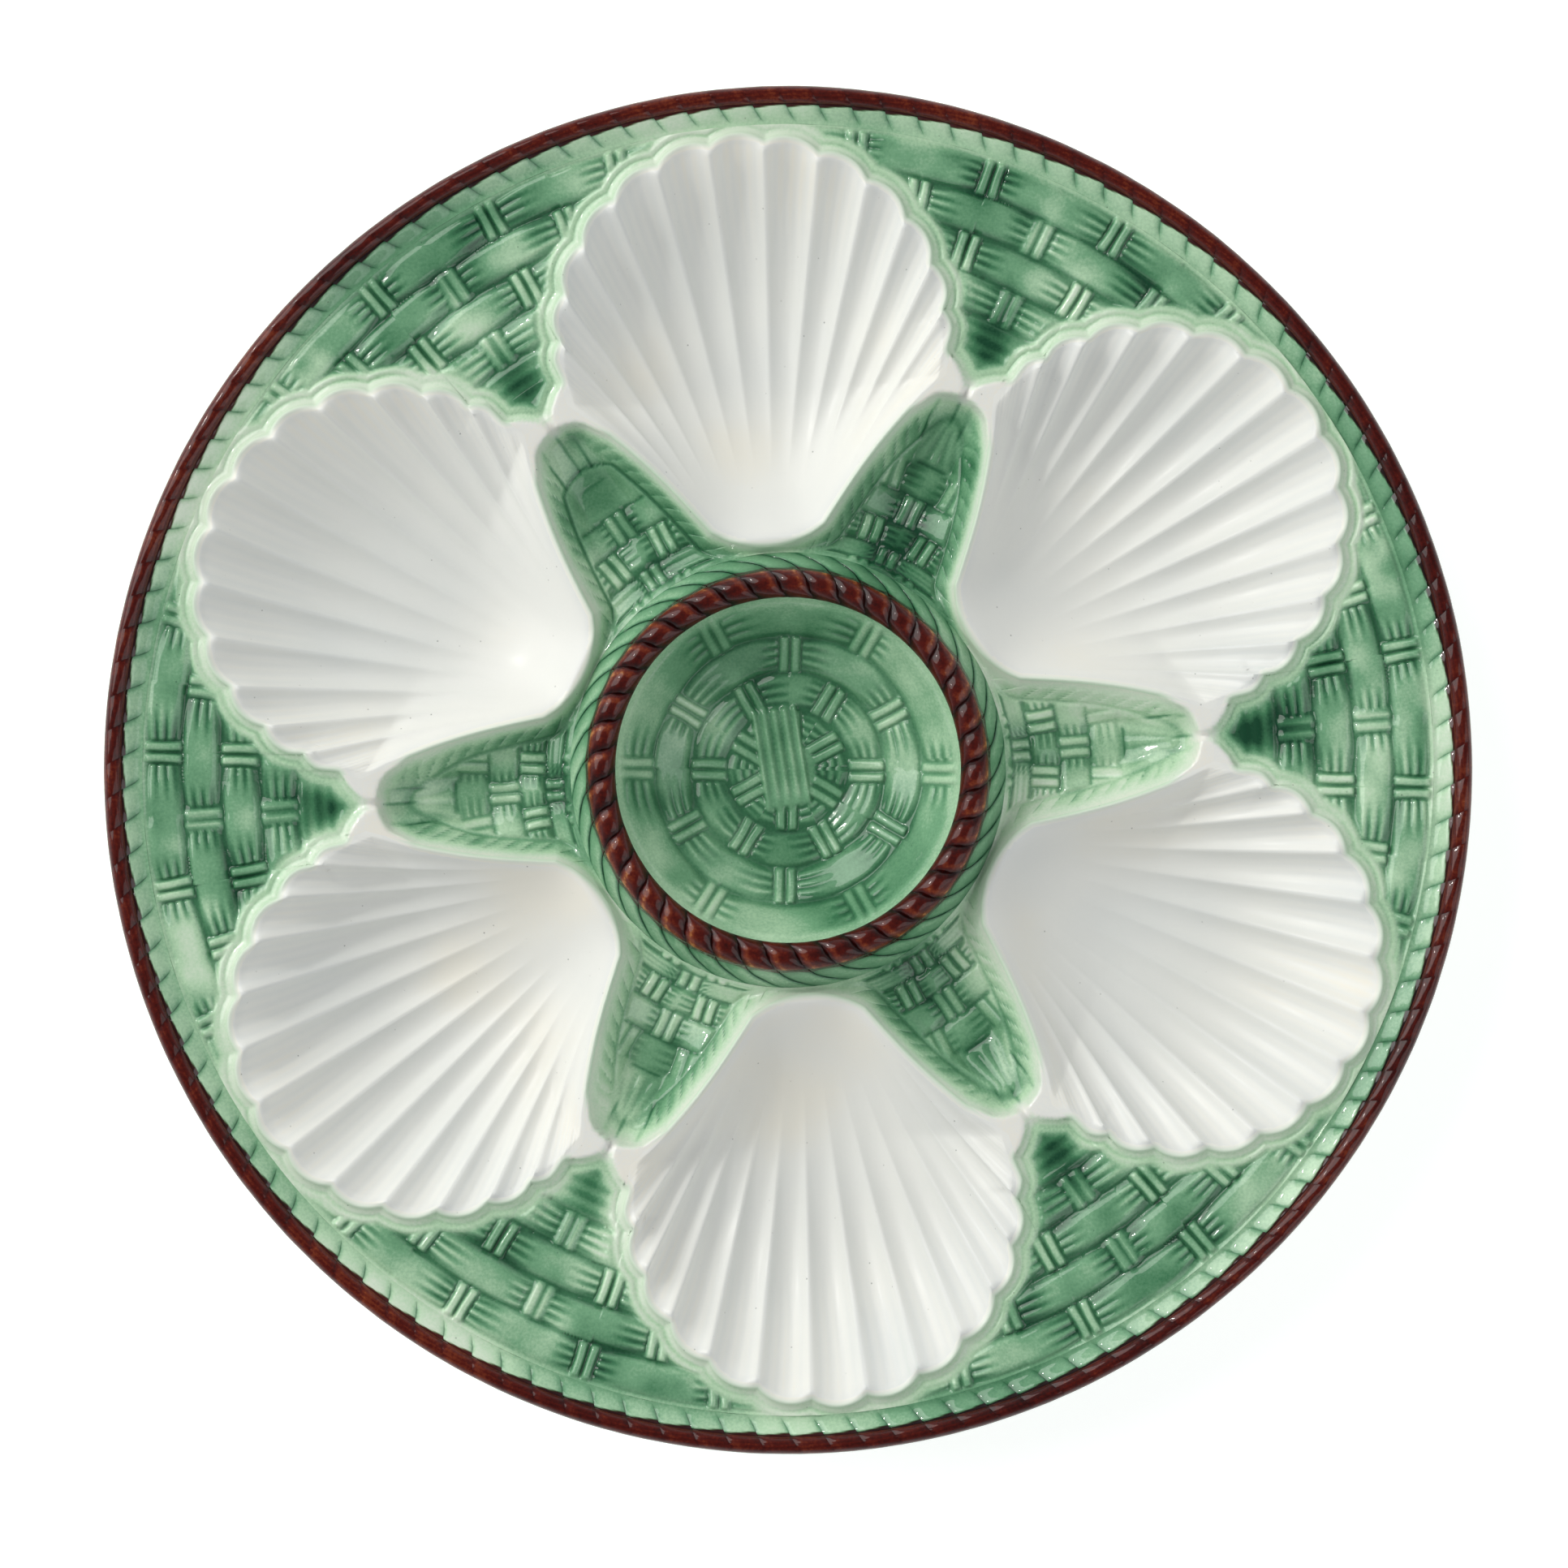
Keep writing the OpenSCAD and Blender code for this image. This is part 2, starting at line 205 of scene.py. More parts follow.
# %% [markdown]
# ## One closed skin
# Every moulded member is a tile of the ware: a finely shaped top, a plainer underside, and
# straight cuts where it meets its neighbours. The underside keeps only some of the top's
# rows, so most triangles go where they show. The cut faces are flat shaded between sharp
# edges, so that the top keeps its own smooth direction up to the edge, and neighbouring tiles
# shade as one surface.

# %% Skin builder
# The underside's glaze is a plain, fairly thin green
UNDERSIDE = {"pool": 0.22, "tint": 1.0}


def skin(name, top, low_z, kept, values, wrap=False):
    """Closed mesh from a grid of top points (columns, rows, xyz) and underside heights.

    Columns run clockwise seen from above, and rows outwards. kept lists the rows that the
    underside shares. values maps attribute names to arrays over the top grid.
    """
    nc, nr = top.shape[:2]
    nk = len(kept)
    low = top[:, kept].copy()
    low[..., 2] = low_z
    ti = np.arange(nc * nr).reshape(nc, nr)
    bi = nc * nr + np.arange(nc * nk).reshape(nc, nk)
    if wrap:
        ti = np.vstack([ti, ti[:1]])
        bi = np.vstack([bi, bi[:1]])

    def quads(a, b, c, d):
        return np.stack([a.ravel(), b.ravel(), c.ravel(), d.ravel()], 1)

    top_faces = quads(ti[:-1, :-1], ti[1:, :-1], ti[1:, 1:], ti[:-1, 1:])
    low_faces = quads(bi[:-1, :-1], bi[:-1, 1:], bi[1:, 1:], bi[1:, :-1])
    inner = quads(bi[:-1, 0], bi[1:, 0], ti[1:, 0], ti[:-1, 0])
    outer = quads(bi[1:, -1], bi[:-1, -1], ti[:-1, -1], ti[1:, -1])
    smooth = np.vstack([low_faces, top_faces])
    cuts = np.vstack([inner, outer]).tolist()
    if not wrap:
        for j, (a, b) in enumerate(zip(kept[:-1], kept[1:])):
            west, east = ti[0, a:b + 1].tolist(), ti[-1, a:b + 1].tolist()
            cuts.append(bi[0, j:j + 2].tolist()[::-1] + west)
            cuts.append(bi[-1, j:j + 2].tolist() + east[::-1])
    verts = np.vstack([top.reshape(-1, 3), low.reshape(-1, 3)]) * MM
    mesh = bpy.data.meshes.new(name)
    mesh.from_pydata(verts.tolist(), [], cuts + smooth.tolist(), shade_flat=False)
    sharp = mesh.attributes.new("sharp_face", "BOOLEAN", "FACE")
    sharp.data.foreach_set("value", np.arange(len(mesh.polygons)) < len(cuts))
    # the edges between a cut and the skin are sharp
    edge_of = np.zeros(len(mesh.loops), int)
    mesh.loops.foreach_get("edge_index", edge_of)
    cut_loops = sum(len(face) for face in cuts)
    in_cut, in_skin = np.zeros((2, len(mesh.edges)), bool)
    in_cut[edge_of[:cut_loops]] = True
    in_skin[edge_of[cut_loops:]] = True
    creased = mesh.attributes.new("sharp_edge", "BOOLEAN", "EDGE")
    creased.data.foreach_set("value", in_cut & in_skin)
    for key, value in values.items():
        under = np.full(nc * nk, UNDERSIDE.get(key, 0.0))
        data = np.concatenate([np.broadcast_to(value, (nc, nr)).ravel(), under])
        mesh.attributes.new(key, "FLOAT", "POINT").data.foreach_set("value", data)
    mesh.validate()
    return mesh


def piece(mesh, node, material):
    """An object that rides on the plate and stands for its solid. Without a material, the
    mesh keeps the one that it has."""
    made = put("glazed_" + node, mesh)
    if material is not None:
        mesh.materials.append(material)
    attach(made, "root")
    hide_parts(node)
    mesh.calc_loop_triangles()
    print(f"{made.name}: {len(mesh.loop_triangles)} triangles")


# %% [markdown]
# ## The glazes
# A painter of such ware has three pots: a clear glaze over a white body, a copper green and
# a manganese-and-iron brown. A colour ramp from thin to pooled glaze does the work of each,
# and two shared groups add what they all have: faint clouds where the brush went, and the
# tiny dark specks and pinholes of an old kiln.

# %% Colours
def pigment(r, g, b):
    """Linear colour of a pigment given as it looks on a screen, 0 to 255."""
    def linear(c):
        c /= 255
        return c / 12.92 if c <= 0.04045 else ((c + 0.055) / 1.055) ** 2.4

    return (linear(r), linear(g), linear(b), 1.0)


def ramp_stops(*rows):
    """Stops of a colour ramp, each given as its place and its pigment."""
    return [(place, pigment(*rgb)) for place, *rgb in rows]


GREEN_STOPS = ramp_stops((0.0, 220, 235, 214), (0.18, 186, 220, 184), (0.42, 119, 170, 131),
                         (0.68, 66, 124, 86), (1.0, 12, 68, 42))
BROWN_STOPS = ramp_stops((0.0, 172, 112, 60), (0.22, 118, 50, 26), (0.5, 82, 18, 9),
                         (0.75, 56, 8, 5), (1.0, 26, 3, 2))
WHITE_STOPS = ramp_stops((0.0, 240, 238, 227), (0.1, 237, 238, 232), (0.3, 228, 231, 228),
                         (1.0, 172, 203, 178))
CLAY_STOPS = ramp_stops((0.3, 160, 138, 108), (0.5, 214, 198, 168), (0.8, 226, 212, 186))


# %% Shared groups
def feed(tree, socket, value):
    """Sets a socket to a value, or links another node's socket to it."""
    if isinstance(value, bpy.types.NodeSocket):
        tree.links.new(value, socket)
    else:
        socket.default_value = value


def add(tree, kind, **values):
    """A node. Names in lower case set the node itself, and the others its inputs."""
    node = tree.nodes.new(kind)
    for key, value in values.items():
        if key.islower():
            setattr(node, key, value)
        else:
            feed(tree, node.inputs[key], value)
    return node


def maths(tree, how, a, b, clamp=False):
    node = add(tree, "ShaderNodeMath", operation=how, use_clamp=clamp)
    feed(tree, node.inputs[0], a)
    feed(tree, node.inputs[1], b)
    return node.outputs[0]


def noise(tree, position, scale, detail, rough=0.5):
    node = add(tree, "ShaderNodeTexNoise", Vector=position, Scale=scale, Detail=detail,
               Roughness=rough)
    return node.outputs["Fac"]


def new_group(name, inputs, outputs):
    """A group with these inputs, by name and default, and these number outputs, and the
    sockets inside it that lead from the first and to the second."""
    group = bpy.data.node_groups.new(name, "ShaderNodeTree")
    for key, value in inputs.items():
        kind = "NodeSocketVector" if isinstance(value, tuple) else "NodeSocketFloat"
        group.interface.new_socket(key, in_out="INPUT", socket_type=kind).default_value = value
    for key in outputs:
        group.interface.new_socket(key, in_out="OUTPUT", socket_type="NodeSocketFloat")
    enter, leave = group.nodes.new("NodeGroupInput"), group.nodes.new("NodeGroupOutput")
    return group, enter.outputs, leave.inputs


def clouded_glaze():
    """Glaze thickness with the brush's clouds in it."""
    group, given, result = new_group(
        "brushed glaze",
        {"Position": (0, 0, 0), "Pool": 0.4, "Clouds": 0.25, "Drift": 0.2, "Grain": 0.06},
        ["Thickness"])
    total = given["Pool"]
    for key, scale, detail in (("Clouds", 90, 3), ("Drift", 24, 1), ("Grain", 1900, 2)):
        wave = maths(group, "SUBTRACT", noise(group, given["Position"], scale, detail), 0.5)
        total = maths(group, "ADD", total, maths(group, "MULTIPLY", wave, given[key]))
    total.node.use_clamp = True
    group.links.new(total, result["Thickness"])
    return group


def specks():
    """Mask of tiny dark specks, and the height of pinholes and of the glaze's slight ripple."""
    group, given, result = new_group(
        "kiln specks", {"Position": (0, 0, 0), "Spacing": 520.0, "Size": 0.11, "Ripple": 0.5},
        ["Specks", "Height"])
    cells = add(group, "ShaderNodeTexVoronoi", Vector=given["Position"], Scale=given["Spacing"])
    split = add(group, "ShaderNodeSeparateColor", Color=cells.outputs["Color"])
    chosen = maths(group, "GREATER_THAN", split.outputs["Red"], 0.8)
    edge = maths(group, "DIVIDE", cells.outputs["Distance"], given["Size"])
    spots = maths(group, "MULTIPLY", maths(group, "SUBTRACT", 1.0, edge, clamp=True), chosen)
    strength = maths(group, "MULTIPLY", spots, split.outputs["Green"])
    waves = maths(group, "MULTIPLY", noise(group, given["Position"], 260, 2), given["Ripple"])
    group.links.new(strength, result["Specks"])
    group.links.new(maths(group, "SUBTRACT", waves, spots), result["Height"])
    return group


BRUSHED, SPECKS = clouded_glaze(), specks()


# %% [markdown]
# Each material places the two groups with values of its own. The shader is a plain
# Principled one with a clear coat, because a lead glaze is a thick layer of glass over
# colour. Its gloss is set on the shader's own sockets.

# %% Materials
def new_material(name):
    material = bpy.data.materials.new(name)
    material.use_nodes = True
    tree = material.node_tree
    return material, tree, tree.nodes["Principled BSDF"]


def bumped(tree, shader, height, strength, distance):
    bump = add(tree, "ShaderNodeBump", Strength=strength, Distance=distance, Height=height)
    tree.links.new(bump.outputs["Normal"], shader.inputs["Normal"])


def ramp(tree, factor, stops):
    node = add(tree, "ShaderNodeValToRGB", Fac=factor)
    points = node.color_ramp.elements
    while len(points) < len(stops):
        points.new(0.5)
    for point, (place, colour) in zip(points, stops):
        point.position = place
        point.color = colour
    return node.outputs["Color"]


def attribute(tree, name):
    return add(tree, "ShaderNodeAttribute", attribute_name=name).outputs["Fac"]


def mixed(tree, factor, a, b):
    node = add(tree, "ShaderNodeMix", data_type="RGBA", Factor=factor)
    feed(tree, node.inputs[6], a)
    feed(tree, node.inputs[7], b)
    return node.outputs[2]


def glaze(name, base, speck, layers, clouds, drift, grain, roughness, coat=1.0,
          coat_roughness=0.05):
    """A glossy glaze. layers is a list of (attribute, stops): each covers the one before it
    by its own attribute, and its colour follows the pool attribute."""
    material, tree, shader = new_material(name)
    place = tree.nodes.new("ShaderNodeTexCoord").outputs["Object"]
    brushed = add(tree, "ShaderNodeGroup", node_tree=BRUSHED, Position=place,
                  Pool=attribute(tree, "pool"), Clouds=clouds, Drift=drift, Grain=grain)
    thickness = brushed.outputs["Thickness"]
    colour = ramp(tree, thickness, base)
    for key, stops in layers:
        colour = mixed(tree, attribute(tree, key), colour, ramp(tree, thickness, stops))
    dots = add(tree, "ShaderNodeGroup", node_tree=SPECKS, Position=place)
    seen = maths(tree, "MULTIPLY", dots.outputs["Specks"], 0.8)
    tree.links.new(mixed(tree, seen, colour, speck), shader.inputs["Base Color"])
    bumped(tree, shader, dots.outputs["Height"], strength=0.35, distance=0.12 * MM)
    for key, value in {"Roughness": roughness, "Specular IOR Level": 0.1, "Coat Weight": coat,
                       "Coat Roughness": coat_roughness}.items():
        shader.inputs[key].default_value = value
    return material


white_glaze = glaze(
    "white glaze", WHITE_STOPS, pigment(62, 70, 60), [("tint", GREEN_STOPS)],
    clouds=0.12, drift=0.2, grain=0.05, roughness=0.5, coat=0.4, coat_roughness=0.25)
green_glaze = glaze(
    "green glaze", GREEN_STOPS, pigment(18, 52, 38),
    [("milk", WHITE_STOPS), ("brown", BROWN_STOPS)],
    clouds=0.34, drift=0.3, grain=0.2, roughness=0.5)
brown_glaze = glaze(
    "brown glaze", BROWN_STOPS, pigment(34, 10, 8), [("tint", GREEN_STOPS)],
    clouds=0.5, drift=0.2, grain=0.55, roughness=0.4, coat=0.5)


def bare_clay():
    """Unglazed foot: matt, warm, a little dirty."""
    material, tree, shader = new_material("dry foot")
    place = tree.nodes.new("ShaderNodeTexCoord").outputs["Object"]
    dirt = noise(tree, place, 160, 5, 0.6)
    tree.links.new(ramp(tree, dirt, CLAY_STOPS), shader.inputs["Base Color"])
    bumped(tree, shader, noise(tree, place, 2200, 3), strength=0.5, distance=0.1 * MM)
    shader.inputs["Roughness"].default_value = 0.85
    return material


dry_foot = bare_clay()
print("materials", [m.name for m in (white_glaze, green_glaze, brown_glaze, dry_foot)])

# %% [markdown]
# ## The scallop outline
# All six shells came from one model. The outline is a fan, a part of a circle with a bump
# at each flute, then two flanks that draw in slightly, then a small arc at the root. A
# column number from -15 to 15 runs across the shell: even numbers are the middles of
# flutes, odd numbers the ridges between them.

# %% Outline
def fan_angle(c):
    t = c / FLUTES
    return np.radians(neck_a * t * (1 + 0.17 * (1 - t**4)))


def across_flute(c):
    """-1 and 1 on the ridges at either side of a flute, 0 in its middle."""
    n = np.clip(np.floor((c + FLUTES) / 2), 0, FLUTES - 1)
    return c - (2 * n - FLUTES + 1)


def bulge(c):
    fade = np.clip((FLUTES - 1.2 - np.abs(c)) / 2, 0, 1) ** 1.5
    return scallop * (0.5 - across_flute(c) ** 2) * fade


def fan_point(c, out):
    a = fan_angle(c)
    return np.stack([(fan_r + out) * np.sin(a), fan_c + (fan_r + out) * np.cos(a)], -1)


def root_point(c):
    a = np.radians(root_a * c / FLUTES)
    return np.stack([root_arc_r * np.sin(a), root_r + root_arc_r * (1 - np.cos(a))], -1)


neck, corner = fan_point(float(FLUTES), 0.0), root_point(float(FLUTES))
neck_r = np.linalg.norm(neck)
flank_dir = (neck - corner) / np.linalg.norm(neck - corner)


def shell_point(c, s):
    """Point of the shell at column c and share s of the way from root to fan."""
    c, s = np.broadcast_arrays(np.asarray(c, float), np.asarray(s, float))
    draw = flank_draw * np.sin(math.pi * s) / FLUTES
    shift = np.stack([-flank_dir[1] * c, flank_dir[0] * np.abs(c)], -1)
    return mix(root_point(c), fan_point(c, bulge(c) * s), s[..., None]) + draw[..., None] * shift


fan_columns = np.linspace(0, FLUTES, FLUTES * 12 + 1)
flank_rows = np.linspace(0, 1, 61)
right_flank = shell_point(FLUTES, flank_rows)
right_fan = fan_point(fan_columns, bulge(fan_columns))
right_root = root_point(fan_columns)
right_side = np.vstack([right_root, right_flank[1:-1], right_fan[::-1]])
outline = np.vstack([right_side, (right_side * [-1, 1])[::-1][1:]])

# Neighbouring lips run together at a point beyond the neck: (radius, distance from the line
# midway between two shells) of the lip as it flares out to that point and back
MEET_R = 74.2
FLARE = [(79.2, 3.7), (77.8, 1.9), (76.6, 0.9), (75.4, 0.5), (MEET_R, 0.35), (73.8, 1.8),
         (73.1, 3.8), (72.0, 5.2), (70.4, 6.1)]
mid = math.pi / SHELLS
flared = np.array([
    (r * math.sin(mid) - g * math.cos(mid), r * math.cos(mid) + g * math.sin(mid))
    for r, g in FLARE])
# The lip leaves the shell's outline at this column of the fan and this radius of the flank
LEAVE_FAN, LEAVE_FLANK = 13.2, 68.6
fan_part = right_fan[fan_columns <= LEAVE_FAN]
flank_part = right_flank[1:-1][np.linalg.norm(right_flank[1:-1], axis=1) < LEAVE_FLANK]
right_lip = np.vstack([right_root, flank_part, flared[::-1], fan_part[::-1]])
lip_line = np.vstack([right_lip, (right_lip * [-1, 1])[::-1][1:]])


def inside(x, y, ring):
    """True for points within a closed ring of points."""
    found = np.zeros(x.shape, bool)
    for (ax, ay), (bx, by) in zip(ring, np.roll(ring, -1, 0)):
        if ay != by:
            crosses = ((ay > y) != (by > y)) & (x < (bx - ax) * (y - ay) / (by - ay) + ax)
            found ^= crosses
    return found


def from_lip(x, y, line):
    """Distance outwards from the lip's line, negative within it, and place along it."""
    d, along = near_path(x, y, np.vstack([line, line[:1]]))
    return np.where(inside(x, y, line), -d, d), along


print("outline points", len(outline), "lip points", len(lip_line))

# %% [markdown]
# ## Shell wells
# The well is a smooth dish whose floor lies nearer the root. The flutes are shallow
# channels with fairly sharp ridges, and they die out towards the root. Near the fan, fine
# growth lines run along each flute. The lip is a narrow rounded edge, where the white glaze
# thins and picks up the green beside it.

# %% Well depth
def half_width(v):
    on_fan = np.sqrt(np.maximum(0, fan_r**2 - (v - fan_c) ** 2))
    on_flank = np.interp(v, right_flank[:, 1], right_flank[:, 0])
    return mix(on_flank, on_fan, ease(v, neck[1] - 3, neck[1] + 3))


def well(u, v, out=0.0):
    """Depth below the lip. out moves the fan's edge outwards, where a flute bulges."""
    lip_share = 1 - lip_w / fan_r
    on_fan = np.hypot(u, v - fan_c) / (fan_r + out)
    side = np.where(v > fan_c, on_fan, np.abs(u) / np.maximum(half_width(v), 1e-6)) / lip_share
    back = np.maximum(0, (fan_c - v) / (fan_c - root_r)) / lip_share
    return well_depth * np.maximum(0, 1 - side**2.6) * np.maximum(0, 1 - back**3)


# %% Shells
# How rounded the ridges between flutes are, how high the growth lines, and how softly the
# dish starts at the lip
RIDGE_ROUND, GROWTH_H, DISH_EASE = 0.12, 0.05, 0.9
# How far in from its edge a shell's glaze picks up the green, and how much of it
TINT_W, TINT = 1.4, 0.7
per_column = 8
columns = np.linspace(-FLUTES, FLUTES, 2 * FLUTES * per_column + 1)
rows = np.unique(np.concatenate([
    np.linspace(0, 0.08, 16), np.linspace(0.08, 0.88, 80), np.linspace(0.88, 1, 44)]))
c, s = np.meshgrid(columns, rows, indexing="ij")
p = shell_point(c, s)
u, v = p[..., 0], p[..., 1]
r = np.hypot(u, v)
edge = np.abs(from_lip(u, v, lip_line)[0])
seam, _ = near_path(u, v, outline)
t = across_flute(c)
width = np.hypot(*np.moveaxis(shell_point(np.minimum(c + 1, FLUTES), s) - shell_point(
    np.maximum(c - 1, -FLUTES), s), -1, 0))
channel = 1 - np.sqrt((1 - t**2) ** 2 + RIDGE_ROUND**2)
height_share = ease(s, 0.16, 0.75) * ease(seam, 0.1, 2.4)
height_share *= np.clip(width / 8.5, 0.25, 1) ** 0.8
height_share *= 1 - 0.85 * ease(np.abs(c), 10.5, 13.2)
flutes = flute_h * 1.85 * (channel - 0.42) * height_share
growth = GROWTH_H * np.sin(t * 15 + 2 * np.sin(s * 9)) * ease(s, 0.62, 0.9) * ease(seam, 0.3, 2)
depth = well(u, v, bulge(c) * ease(s, 0.7, 1))
depth = depth**2 / (depth + DISH_EASE)
rounding = LIP_ROUND * (1 - np.clip(edge / 0.55, 0, 1)) ** 2
shell_z = lip_z(r) - depth + flutes + growth - rounding
shell_low_z = lip_z(r) - well(u, v) - wall
shell_tint = (1 - ease(edge, 0.0, TINT_W)) * TINT
kept = picked(0, len(rows) - 1, 15)
for k in range(SHELLS):
    x, y = turned(u, v, shell_angle(k))
    loose = 0.12 * uneven(x, y, 22, 5) * ease(seam, 0, 4)
    top = np.stack([x, y, shell_z + loose], -1)
    milky = 0.09 + 0.1 * uneven(x, y, 15, 8) + 0.14 * (1 - ease(edge, 0.2, 3.0)) - growth
    milky = milky + 0.07 * (channel + 0.6) * height_share
    thin = np.where(shell_tint > 0.02, 0.05 + 0.12 * shell_tint, milky)
    mesh = skin(f"glazed_shell_well_{k + 1}", top, shell_low_z[:, kept], kept,
                {"pool": np.clip(thin, 0, 1), "tint": shell_tint})
    piece(mesh, f"shell_well_{k + 1}", white_glaze)


# %% [markdown]
# ## Basket weave
# The ground is a moulded weave on rings about the plate's middle. On each ring, pairs of
# upright stakes stand 12.67 degrees apart, and the next ring's pairs lie half a step along.
# Between two pairs, a band of flat strands rises over the hidden stake in a low pillow.
# Its strands show as fine lines at the ends, and merge in the middle.

# %% Weave relief
def weave(level, r, degrees, step, offset, reach, line_end):
    """Height of the weave in mm, and how much deeper its glaze pools than elsewhere.

    level counts rings inwards, and step is the angle between stakes.
    reach is how far from a stake a band of strands has risen to its full height, and
    line_end how far its single strands stay apart.
    """
    row = np.floor(level)
    w = (level - row) * 2 - 1
    lag = np.where(row % 2 == 0, offset, offset + step / 2)
    b = (degrees - lag) / step
    x = np.radians((b - np.round(b)) * step) * r
    which = row * 31 + np.round(b) * 17
    x = x + 0.3 * uneven(which, row, 1.0, 3)
    ax = np.abs(x)
    ax = ax + 0.12 * uneven(which + 3 * np.sign(x), w, 1.1, 6)
    rise = np.sin(math.pi / 2 * np.clip((ax - 1.5) / reach, 0, 1)) ** 0.8
    lean = 0.07 * uneven(which, row, 1.3, 4) + 0.07 * x / reach * uneven(which, row, 0.8, 9)
    lane = (w + lean) / (0.78 + 0.2 * rise)
    across = np.abs(lane)
    body = np.clip(1 - across**4.5, 0, 1) * ease(ax, 1.95, 2.6)
    apart = 1 - ease(ax, 2.8, line_end * (1 + 0.4 * uneven(which + np.sign(x), row, 0.9, 7)))
    strands = np.cos(lane * math.pi * 3.7 + 2.5 * uneven(which, row, 1.7, 5)) * apart
    band = (0.34 + 0.71 * rise) * body + 0.17 * strands * body
    ribs = np.exp(-(((ax - 1.08) / 0.8) ** 4)) * np.clip(1 - np.abs(w) ** 12, 0, 1)
    height = np.maximum(ribs * (1 - 0.2 * w), band)
    gap = 1 - np.clip(np.maximum(ribs, body), 0, 1)
    brow = hump(across - 0.82, 0.14) * body
    dark = body * (0.15 * apart - 0.24 * strands - 0.05 * rise - 0.14 * brow)
    return height, dark + 0.36 * gap - 0.17 * ribs


# %% [markdown]
# ## Outer panels
# Each fills the spandrel between two shells and the rim. Its columns start on the shells'
# own outline, so the two tiles meet exactly. Outside the lip runs a second, thinner line,
# and the weave starts beyond it. The glaze is thin and pale along the shells, and pools
# darkest in the corner where the two shells meet.

# %% Panel grid
def panel_z(r, r0, r1, z0, z1, sag):
    q = (r - r0) / (r1 - r0)
    return mix(z0, z1, q) - 4 * q * (1 - q) * sag * np.abs(r1 - r0)


def panel_edge(line):
    """Plate positions along a panel's shell side, from the next shell's axis back to this
    one's, for the right half of a shell's outline. An arc bridges the two shells' necks."""
    right, left = placed(line, 1), placed(line[::-1] * [-1, 1], 0)
    a = np.degrees(np.arctan2(right[-1, 1], right[-1, 0]))
    b = np.degrees(np.arctan2(left[0, 1], left[0, 0]))
    turn = np.radians(np.linspace(a, b, 18)[1:-1])
    bridge = neck_r * np.stack([np.cos(turn), np.sin(turn)], -1)
    return np.vstack([right, bridge, left])


def on_circle(points, radius):
    """Points at the same bearings, on a circle about the plate's middle."""
    bearing = np.arctan2(points[:, 1], points[:, 0])
    return radius * np.stack([np.cos(bearing), np.sin(bearing)], -1)


def panel_grid(first, last, steps):
    """Positions, radii and bearings of a panel's grid between its two sides. Then how far
    out from the nearest lip each point lies, how far along it, and how much on top of it."""
    q = np.linspace(0, 1, steps)
    grid = mix(first[:, None, :], last[:, None, :], q[None, :, None])
    x, y = grid[..., 0], grid[..., 1]
    off = np.degrees(np.arctan2(y, x)) - (shell_angle(0) + 180 / SHELLS)
    (a, along_a), (b, along_b) = (from_lip(x, y, placed(lip_line, k)) for k in (0, 1))
    signed, along = np.minimum(a, b), np.where(a < b, along_a, -along_b)
    return x, y, np.hypot(x, y), off, signed, along, 1 - ease(signed, -LIP_HALF, 0.0)


def lip_flank(edge):
    """Height of a lip over the ground beside it."""
    return (lip_h - LIP_ROUND) * np.exp(-edge / LIP_FLANK)


def lip_crown(r, signed):
    """Height of a lip's rounded top, within its line."""
    return lip_z(r) - LIP_ROUND * (1 - np.clip(-signed / LIP_HALF, 0, 1)) ** 2


def panel(node, x, y, z, low_z, kept, pool, milk):
    """A panel in green glaze, milky where the lips' white runs into it."""
    mesh = skin("glazed_" + node, np.stack([x, y, z], -1), low_z[:, kept], kept,
                {"pool": np.clip(pool, 0.02, 1), "milk": milk})
    piece(mesh, node, green_glaze)


# The columns aim at where the smooth fan, without bumps, points, so they fan out evenly
start = panel_edge(right_fan)
finish = on_circle(panel_edge(fan_point(fan_columns, 0.0)), border_in_r)
steps = 105
x, y, r, off, signed, _, on_lip = panel_grid(start, finish, steps)
start_r = np.linalg.norm(start, axis=1)[:, None]
edge = np.maximum(signed, 0)

# %% Outer panels
ground = panel_z(r, start_r, border_in_r, lip_z(start_r) - lip_h, lip_tip_z - lip_h, outer_sag)
second = 0.42 * hump(edge - 2.1, 0.55) - 0.12 * hump(edge - 1.3, 0.3)
relief, dark = weave((border_in_r - 0.2 - r) / RING_W, r, off,
                     step=STAKE_STEP, offset=6.333, reach=7.0, line_end=9.0)
shown = ease(edge, 2.2, 3.6) * ease(r, 85, 90)
shown *= 1 - ease(r, border_in_r - 1.0, border_in_r - 0.1)
creases = np.cos((r - 80) * 2.6) * ease(edge, 2, 3.4) * (1 - ease(r, 86, 91))
outer_z = ground + lip_flank(edge) + (relief - 0.55) * shown + 0.1 * creases
outer_z = np.where(signed < 0, lip_crown(r, signed), outer_z)
past_bridge = ease(r, neck_r + 0.2, neck_r + 2)
outer_low_z = ground + lip_h - wall
CORNER_R = 83.5  # where the glaze pools most, between two shells
from_corner = np.hypot((r - CORNER_R) * 0.55, np.radians(off) * r * 1.1)
corner_dark = 0.5 * (1 - ease(from_corner, 0.5, 7))
RIM_PATCHES = 0.24  # how unevenly the glaze lies along the rim
line_dark = 0.2 * hump(edge - 1.3, 0.4) + 0.14 * hump(edge - 3.2, 0.6)
kept = picked(0, steps - 1, 7)
